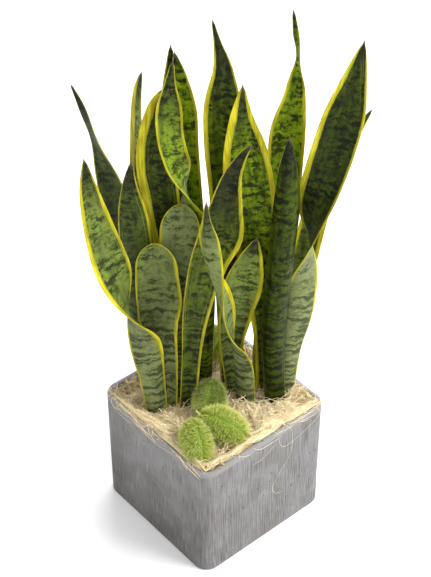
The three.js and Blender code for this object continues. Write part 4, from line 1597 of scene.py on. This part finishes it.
@dataclass(frozen=True)
class SeedPod:
    """Egg-shaped pod covered in soft bristles, with a rib along one side and a stalk.

    The centre is given as side, depth and height. The axis points to the stalk and the rib
    points from the middle to the rib. Shade is how much painted shadow darkens the bristles
    towards the stalk end.
    """

    name: str
    centre: tuple[float, float, float]
    axis: tuple[float, float, float]
    rib: tuple[float, float, float]
    shade: float = 0.0
    seed: int = 0
    radius: float = 18.4
    half_length: float = 30.0
    stalk_length: float = 2.0
    bristle: float = 7.8
    bristles: int = 2900
    stalk_radius: float = 1.3

    ROWS = 40
    COLUMNS = 56
    STALK_RINGS = 8
    BODY_REACH = 0.12
    STALK_REACH = 0.95

    def frame(self) -> tuple[Array, Array, Array, Array]:
        """The pod's own axes.

        Returns:
            Centre, direction of the rib, the third direction and the long axis.
        """
        axis = unit(from_plant(np.array(self.axis, float)))
        rib = from_plant(np.array(self.rib, float))
        rib = unit(rib - np.dot(rib, axis) * axis)
        return from_plant(np.array(self.centre, float)), rib, np.cross(axis, rib), axis

    def spread(self, polar: Array, turn: Array, proud: Array) -> tuple[Array, Array]:
        """Places on the pod's skin.

        Args:
            polar: Angle from the stalk end, in radians.
            turn: Angle round the long axis from the rib, in radians.
            proud: Height above the skin.

        Returns:
            Places and outward directions.
        """
        centre, rib, third, axis = self.frame()
        plump = 1 + 0.05 * np.cos(polar) - 0.05 * np.exp(-((np.sin(turn / 2) / 0.12) ** 2))
        round_part = np.sin(polar) * self.radius * plump
        flat = rib * np.cos(turn)[..., None] + third * np.sin(turn)[..., None]
        tall_part = np.cos(polar) * self.half_length
        place = centre + flat * round_part[..., None] + axis * tall_part[..., None]
        out = unit(flat * (np.sin(polar) / self.radius)[..., None]
                   + axis * (np.cos(polar) / self.half_length)[..., None])
        return place + out * proud[..., None], out

    def core(self, finish: bpy.types.Material) -> bpy.types.Object:
        """Makes the pod's body with its stalk.

        Args:
            finish: Its material.

        Returns:
            The body.
        """
        columns = self.COLUMNS
        polar = np.linspace(math.pi, 0.1, self.ROWS)[1:]
        turn = np.arange(columns) / columns * 2 * math.pi
        polar_grid, turn_grid = np.meshgrid(polar, turn, indexing="ij")
        lumps = 0.35 * Drift(self.seed + 90, 8).at(turn_grid / (2 * math.pi) * 8, polar_grid * 3)
        place, _ = self.spread(polar_grid, turn_grid, lumps)
        centre, rib, third, axis = self.frame()
        circle = rib * np.cos(turn)[:, None] + third * np.sin(turn)[:, None]
        stalk = []
        for share in np.linspace(0, 1, self.STALK_RINGS):
            bow = 1.6 * share**2
            thick = self.stalk_radius * (1.5 - 0.65 * ease(np.array(share * 2.0)))
            middle = centre + axis * (self.half_length - 1 + self.stalk_length * share) + third * bow
            stalk.append(middle + circle * thick)
        points = np.concatenate([place, np.array(stalk)])
        total = len(points)
        ends = np.array([centre - axis * self.half_length,
                         stalk[-1].mean(0) + axis * 0.4])
        around = np.arange(columns)
        after = (around + 1) % columns
        base, top = np.full(columns, total * columns), np.full(columns, total * columns + 1)
        last = (total - 1) * columns
        reach = np.concatenate([np.full(len(polar) * columns, self.BODY_REACH),
                                np.full(self.STALK_RINGS * columns, self.STALK_REACH),
                                [self.BODY_REACH, self.STALK_REACH]])
        skin = Skin()
        skin.add(
            np.vstack([points.reshape(-1, 3), ends]),
            [strip_faces(total, columns, True),
             np.stack([base, after, around], -1), np.stack([top, last + around, last + after], -1)],
            {"reach": reach, "tint": np.ones(len(reach)), "shade": np.zeros(len(reach))},
        )
        return skin.build("pod_body_" + self.name, finish)

    def coat(self, finish: bpy.types.Material) -> bpy.types.Object:
        """Makes the bristles.

        Args:
            finish: Their material.

        Returns:
            The bristles, one mesh.
        """
        random = np.random.default_rng(self.seed + 200)
        count, steps = self.bristles, 4
        index = np.arange(count) + 0.5
        polar = np.arccos(1 - 2 * index / count * 0.99) + random.normal(0, 0.02, count)
        turn = math.pi * (1 + 5**0.5) * index + random.normal(0, 0.02, count)
        turn = (turn + math.pi) % (2 * math.pi) - math.pi
        root, out = self.spread(polar, turn, np.full(count, -0.3))
        axis = self.frame()[3]
        around = unit(np.cross(axis, out))
        parting = np.exp(-((turn / 0.5) ** 2)) * np.sign(turn)
        droop = axis * (0.15 * np.sin(polar) + 0.05)[:, None]
        lean = unit(out + around * (parting * 0.6)[:, None] - droop
                    + random.normal(0, 0.26, (count, 3)))
        length = self.bristle * random.uniform(0.75, 1.25, count) * (0.8 + 0.25 * np.sin(polar))
        t = np.linspace(0, 1, steps)
        curl = -axis * 0.3 + random.normal(0, 0.16, (count, 3))
        paths = (root[:, None] + lean[:, None] * (length[:, None] * t)[..., None]
                 + curl[:, None] * (length[:, None] * t**2 * 0.6)[..., None])
        radii = random.uniform(0.28, 0.45, count)[:, None] * (1 - 0.85 * t**1.5)
        tint = random.uniform(0.15, 1, count)[:, None] * np.ones(steps)
        near_rib = 0.03 * np.exp(-((turn / 0.22) ** 2))[:, None]
        # painted shadow, strongest towards the stalk end
        shade = self.shade * ease((np.cos(polar) * 1.4 + 0.25))[:, None]
        skin = Skin()
        skin.add_strands(paths, radii, {"reach": np.clip(t * 0.85 + 0.1 + near_rib, 0, 1),
                                        "tint": tint, "shade": shade})
        return skin.build("pod_bristles_" + self.name, finish)


# The fifth value, shade, is painted shadow; the upright pod, which the leaves shade, has the most.
PODS = (
    SeedPod("rear", (-3, 98, 193), (0.5, 0.2, 0.85), (0.2, -0.9, 0.3), 0.3, 1, 17.6, 29.4),
    SeedPod("upright", (-6, -22, 200), (0.05, 0.35, 0.95), (-0.1, -0.95, 0.3), 1.0, 2, 17.6),
    SeedPod("right", (11.5, -67, 201), (-0.87, 0.48, 0.12), (-0.1, -0.4, 0.95), 0.0, 3, 18.6,
            32.0, 11.0),
    SeedPod("left", (-24, -95, 198), (-0.24, 0.85, 0.45), (0.3, -0.3, 0.9), 0.12, 4, 16.6, 29.5),
)


# ---- loose bits ---------------------------------------------------------------------------


@dataclass(frozen=True)
class LooseFibres:
    """Long single fibres that have strayed over the pods and down the pot."""

    radius: float = 0.17
    tint: float = 0.9
    # Guide points in the pot's axes. Those beyond the pot's side hang on its outer face.
    guides: tuple[tuple[tuple[float, float, float], ...], ...] = (
        ((106, 84, 190.4), (110.6, 92, 186), (110.8, 90, 176), (110.8, 70, 166), (110.8, 36, 158),
         (110.9, 24, 163), (110.8, 20, 175), (108, 22, 189.6), (96, 18, 190)),
        ((105, 30, 190.6), (110.6, 40, 186), (110.8, 44, 160), (110.8, 40, 135), (110.9, 22, 112),
         (110.8, 10, 92), (110.9, 16, 76), (110.8, 30, 70)),
        ((104, 16, 190.6), (110.7, 16, 184), (110.8, 6, 170), (110.9, -12, 162), (110.8, -28, 162)),
        ((60, -109, 190.6), (30, -110.8, 184), (0, -110.8, 180), (-34, -110.8, 183),
         (-60, -108, 190.6)),
        ((-96, -108, 190.6), (-80, -110.9, 182), (-60, -110.9, 176), (-40, -110.8, 178)),
    )

    def build(self, finish: bpy.types.Material) -> bpy.types.Object:
        """Makes the fibres.

        Args:
            finish: Their material.

        Returns:
            The fibres, one mesh.
        """
        skin = Skin()
        steps = 44
        share = np.linspace(0, 1, steps)
        for guide in self.guides:
            self.lay(skin, smooth_rows(np.array(guide, float), share))
        for centre, sideways, rise, size in self.arches():
            angle = share * math.pi * 1.15 - 0.25
            path = (centre + sideways * (np.cos(angle) * size)[:, None]
                    + rise * (np.sin(angle) * size * 1.3)[:, None])
            self.lay(skin, path)
        return skin.build("stray_fibres", finish)

    def arches(self) -> list[tuple[Array, Array, Array, float]]:
        """Loops of fibre that stand over the pods.

        Returns:
            Centre, two directions and size of each loop.
        """
        side, back = from_plant(np.array([[1.0, 0, 0], [0, 1.0, 0]]))
        pods = from_plant(np.array([[-22.0, -97, 210], [-60, -60, 188], [4, -84, 190]]))
        leaning = unit(back * 0.6 + UP)
        return [(pods[0], side, leaning, 11.0), (pods[1], unit(side + back), unit(UP + side), 8.0),
                (pods[2], unit(side - back * 0.3), UP, 7.0)]

    def lay(self, skin: Skin, path: Array) -> None:
        """Adds one fibre along a path, thinner at its ends.

        Args:
            skin: The mesh that it joins.
            path: Its points, in order.
        """
        t = np.linspace(-1, 1, len(path))
        radii = tapered(np.array([self.radius]), t, 0.6, 6)
        skin.add_strands(path[None], radii, {"tint": np.full((1, len(path)), self.tint)})


@dataclass(frozen=True)
class Chips:
    """Small dry flakes of husk on the mat and the rim."""

    narrow: float = 0.5
    flat: float = 0.18
    # Centre in the pot's axes, half length, turn about +Z and tilt, in radians.
    flakes: tuple[tuple[float, float, float, float, float, float], ...] = (
        (104, -74, 191.6, 3.4, 0.4, 0.3), (107, -82, 190.6, 1.8, 1.9, -0.2),
        (82, -78, 189, 4.4, 0.7, 0.15), (76, -84, 188.5, 3.0, 2.2, 0.1),
        (101, 6, 189.6, 3.2, 1.2, 0.2), (99, 22, 189.4, 2.4, 2.0, 0.3),
        (-40, -62, 183, 3.6, 0.2, 0.2), (100, 60, 189.6, 3.0, 0.9, -0.2),
    )

    def build(self, finish: bpy.types.Material) -> bpy.types.Object:
        """Makes the flakes.

        Args:
            finish: Their material.

        Returns:
            The flakes, one mesh.
        """
        random = np.random.default_rng(77)
        skin = Skin()
        rows, columns = 7, 12
        polar = np.linspace(0, math.pi, rows)[1:-1]
        turn = np.arange(columns) / columns * 2 * math.pi
        for x, y, z, size, heading, tilt in self.flakes:
            jag = 1 + random.uniform(-0.22, 0.22, (len(polar), columns))
            out = np.sin(polar)[:, None] ** 0.6 * jag
            thick = size * self.flat
            local = np.stack([out * np.cos(turn) * size, out * np.sin(turn) * size * self.narrow,
                              np.cos(polar)[:, None] * thick * np.ones(columns)], -1)
            local = np.concatenate([[[0, 0, thick]], local.reshape(-1, 3), [[0, 0, -thick]]])
            turned = np.array(Matrix.Rotation(heading, 3, "Z") @ Matrix.Rotation(tilt, 3, "Y"))
            around = np.arange(columns)
            after = (around + 1) % columns
            count = len(polar) * columns
            last = 1 + count - columns
            top = np.stack([np.zeros(columns, int), 1 + around, 1 + after], -1)
            under = np.stack([np.full(columns, count + 1), last + after, last + around], -1)
            walls = strip_faces(len(polar), columns, True)[:, ::-1] + 1
            skin.add(local @ turned.T + np.array([x, y, z]), [walls, top, under], {})
        return skin.build("husk_chips", finish)


# ---- studio -------------------------------------------------------------------------------


@dataclass(frozen=True)
class Studio:
    """Camera, pale floor and soft lights. Places are in metres."""

    azimuth: float = 49.4
    elevation: float = 39.9
    distance: float = 1.786
    aim_side: float = 0.0022
    aim_height: float = 0.3797
    lens: float = 87.6
    sensor: float = 36.0
    ambient: float = 0.9
    floor_size: float = 14.0
    light_aim: float = 0.35

    def directions(self) -> tuple[Vector, Vector, Vector]:
        """Directions that the camera and the lights are placed by.

        Returns:
            The camera's right, the horizontal direction towards it, and the way to it.
        """
        turn, lift = math.radians(self.azimuth), math.radians(self.elevation)
        right = Vector((math.cos(turn), math.sin(turn), 0))
        near = Vector((math.sin(turn), -math.cos(turn), 0))
        return right, near, near * math.cos(lift) + Vector((0, 0, math.sin(lift)))

    def camera(self) -> None:
        """Makes the scene's camera."""
        right, _, back = self.directions()
        aim = right * self.aim_side + Vector((0, 0, self.aim_height))
        data = bpy.data.cameras.new("camera")
        data.lens = self.lens
        data.sensor_width = self.sensor
        camera = bpy.data.objects.new("camera", data)
        camera.location = aim + back * self.distance
        camera.rotation_euler = (-back).to_track_quat("-Z", "Y").to_euler()
        bpy.context.scene.collection.objects.link(camera)
        bpy.context.scene.camera = camera

    def light(self, name: str, sideways: float, forward: float, height: float, size: float,
              power: float) -> None:
        """Adds a square soft light that points at the plant.

        Args:
            name: Its name.
            sideways: Distance to the camera's right.
            forward: Distance towards the camera.
            height: Height above the floor.
            size: Its side.
            power: Its power in watts.
        """
        right, near, _ = self.directions()
        data = bpy.data.lights.new(name, "AREA")
        data.energy = power
        data.size = size
        lamp = bpy.data.objects.new(name, data)
        lamp.location = right * sideways + near * forward + Vector((0, 0, height))
        aim = Vector((0, 0, self.light_aim)) - lamp.location
        lamp.rotation_euler = aim.to_track_quat("-Z", "Y").to_euler()
        bpy.context.scene.collection.objects.link(lamp)

    def floor(self) -> None:
        """Makes the pale floor."""
        half = self.floor_size / 2
        mesh = bpy.data.meshes.new("floor")
        corners = [(-half, -half, 0), (half, -half, 0), (half, half, 0), (-half, half, 0)]
        mesh.from_pydata(corners, [], [(0, 1, 2, 3)])
        r = Recipe("pale_floor")
        mesh.materials.append(r.done(base_color=(0.97, 0.97, 0.97), roughness=0.9,
                                     specular_ior_level=0.0))
        floor = bpy.data.objects.new("floor", mesh)
        bpy.context.scene.collection.objects.link(floor)

    def build(self) -> None:
        """Makes the whole studio."""
        self.camera()
        self.floor()
        self.light("key", 1.7, 0.4, 2.2, 1.3, 78.0)
        self.light("front", -0.7, 2.0, 1.7, 1.3, 5.0)
        self.light("back", 0.3, -1.8, 2.0, 1.4, 34.0)
        world = bpy.data.worlds.new("soft_room")
        world.use_nodes = True
        backdrop = world.node_tree.nodes["Background"]
        backdrop.inputs["Color"].default_value = (1.0, 1.0, 1.0, 1.0)
        backdrop.inputs["Strength"].default_value = self.ambient
        bpy.context.scene.world = world
        bpy.context.scene.view_settings.view_transform = "Standard"


# ---- the whole plant ------------------------------------------------------------------------


def build_mat() -> None:
    """Makes the sisal mat and everything loose on it."""
    mat, finish = SisalMat(), SisalFinish()
    strand = finish.strand()
    settle(mat.body(finish.mat()), "sisal", "sisal_mat")
    # the under layer's darker tint, 0 to 0.5, is painted shade beneath the upper strands
    under = mat.layer(31, 1500, (26, 80), 0.9, 0.9, (0.0, 0.5), (0.25, 0.4))
    settle(under.build("sisal_under_strands", strand), "sisal")
    upper = mat.layer(32, 800, (30, 84), 1.7, 3.2, (0.6, 1.0), (0.34, 0.56))
    curls = mat.layer(33, 560, (30, 70), 4.2, 5.0, (0.8, 1.0), (0.34, 0.54))
    settle(curls.build("sisal_curls", strand), "sisal")
    mat.tow(upper)
    mat.nest(upper)
    mat.collars(upper, np.array([leaf.foot(mat.level) for leaf in LEAVES]))
    settle(upper.build("sisal_top_strands", strand), "sisal")
    settle(mat.overhang().build("sisal_rim_strands", strand), "sisal")
    settle(LooseFibres().build(strand), "sisal")
    settle(Chips().build(HuskFinish().make()), "sisal")


def main() -> None:
    """Builds the plant piece by piece and puts it in the studio."""
    Studio().build()
    settle(Pot().build(PotFinish().make()), "pot", "pot")
    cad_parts["soil"].material_slots[0].material = SoilFinish().make()
    build_mat()
    bristle = BristleFinish().make()
    for pod in PODS:
        settle(pod.core(bristle), "seed_pod", "seed_pod_" + pod.name)
        settle(pod.coat(bristle), "seed_pod")
    waxy = LeafFinish().make()
    for leaf in LEAVES:
        settle(leaf.build(waxy), "leaf", "leaf_" + leaf.name)


if __name__ == "__main__":
    main()
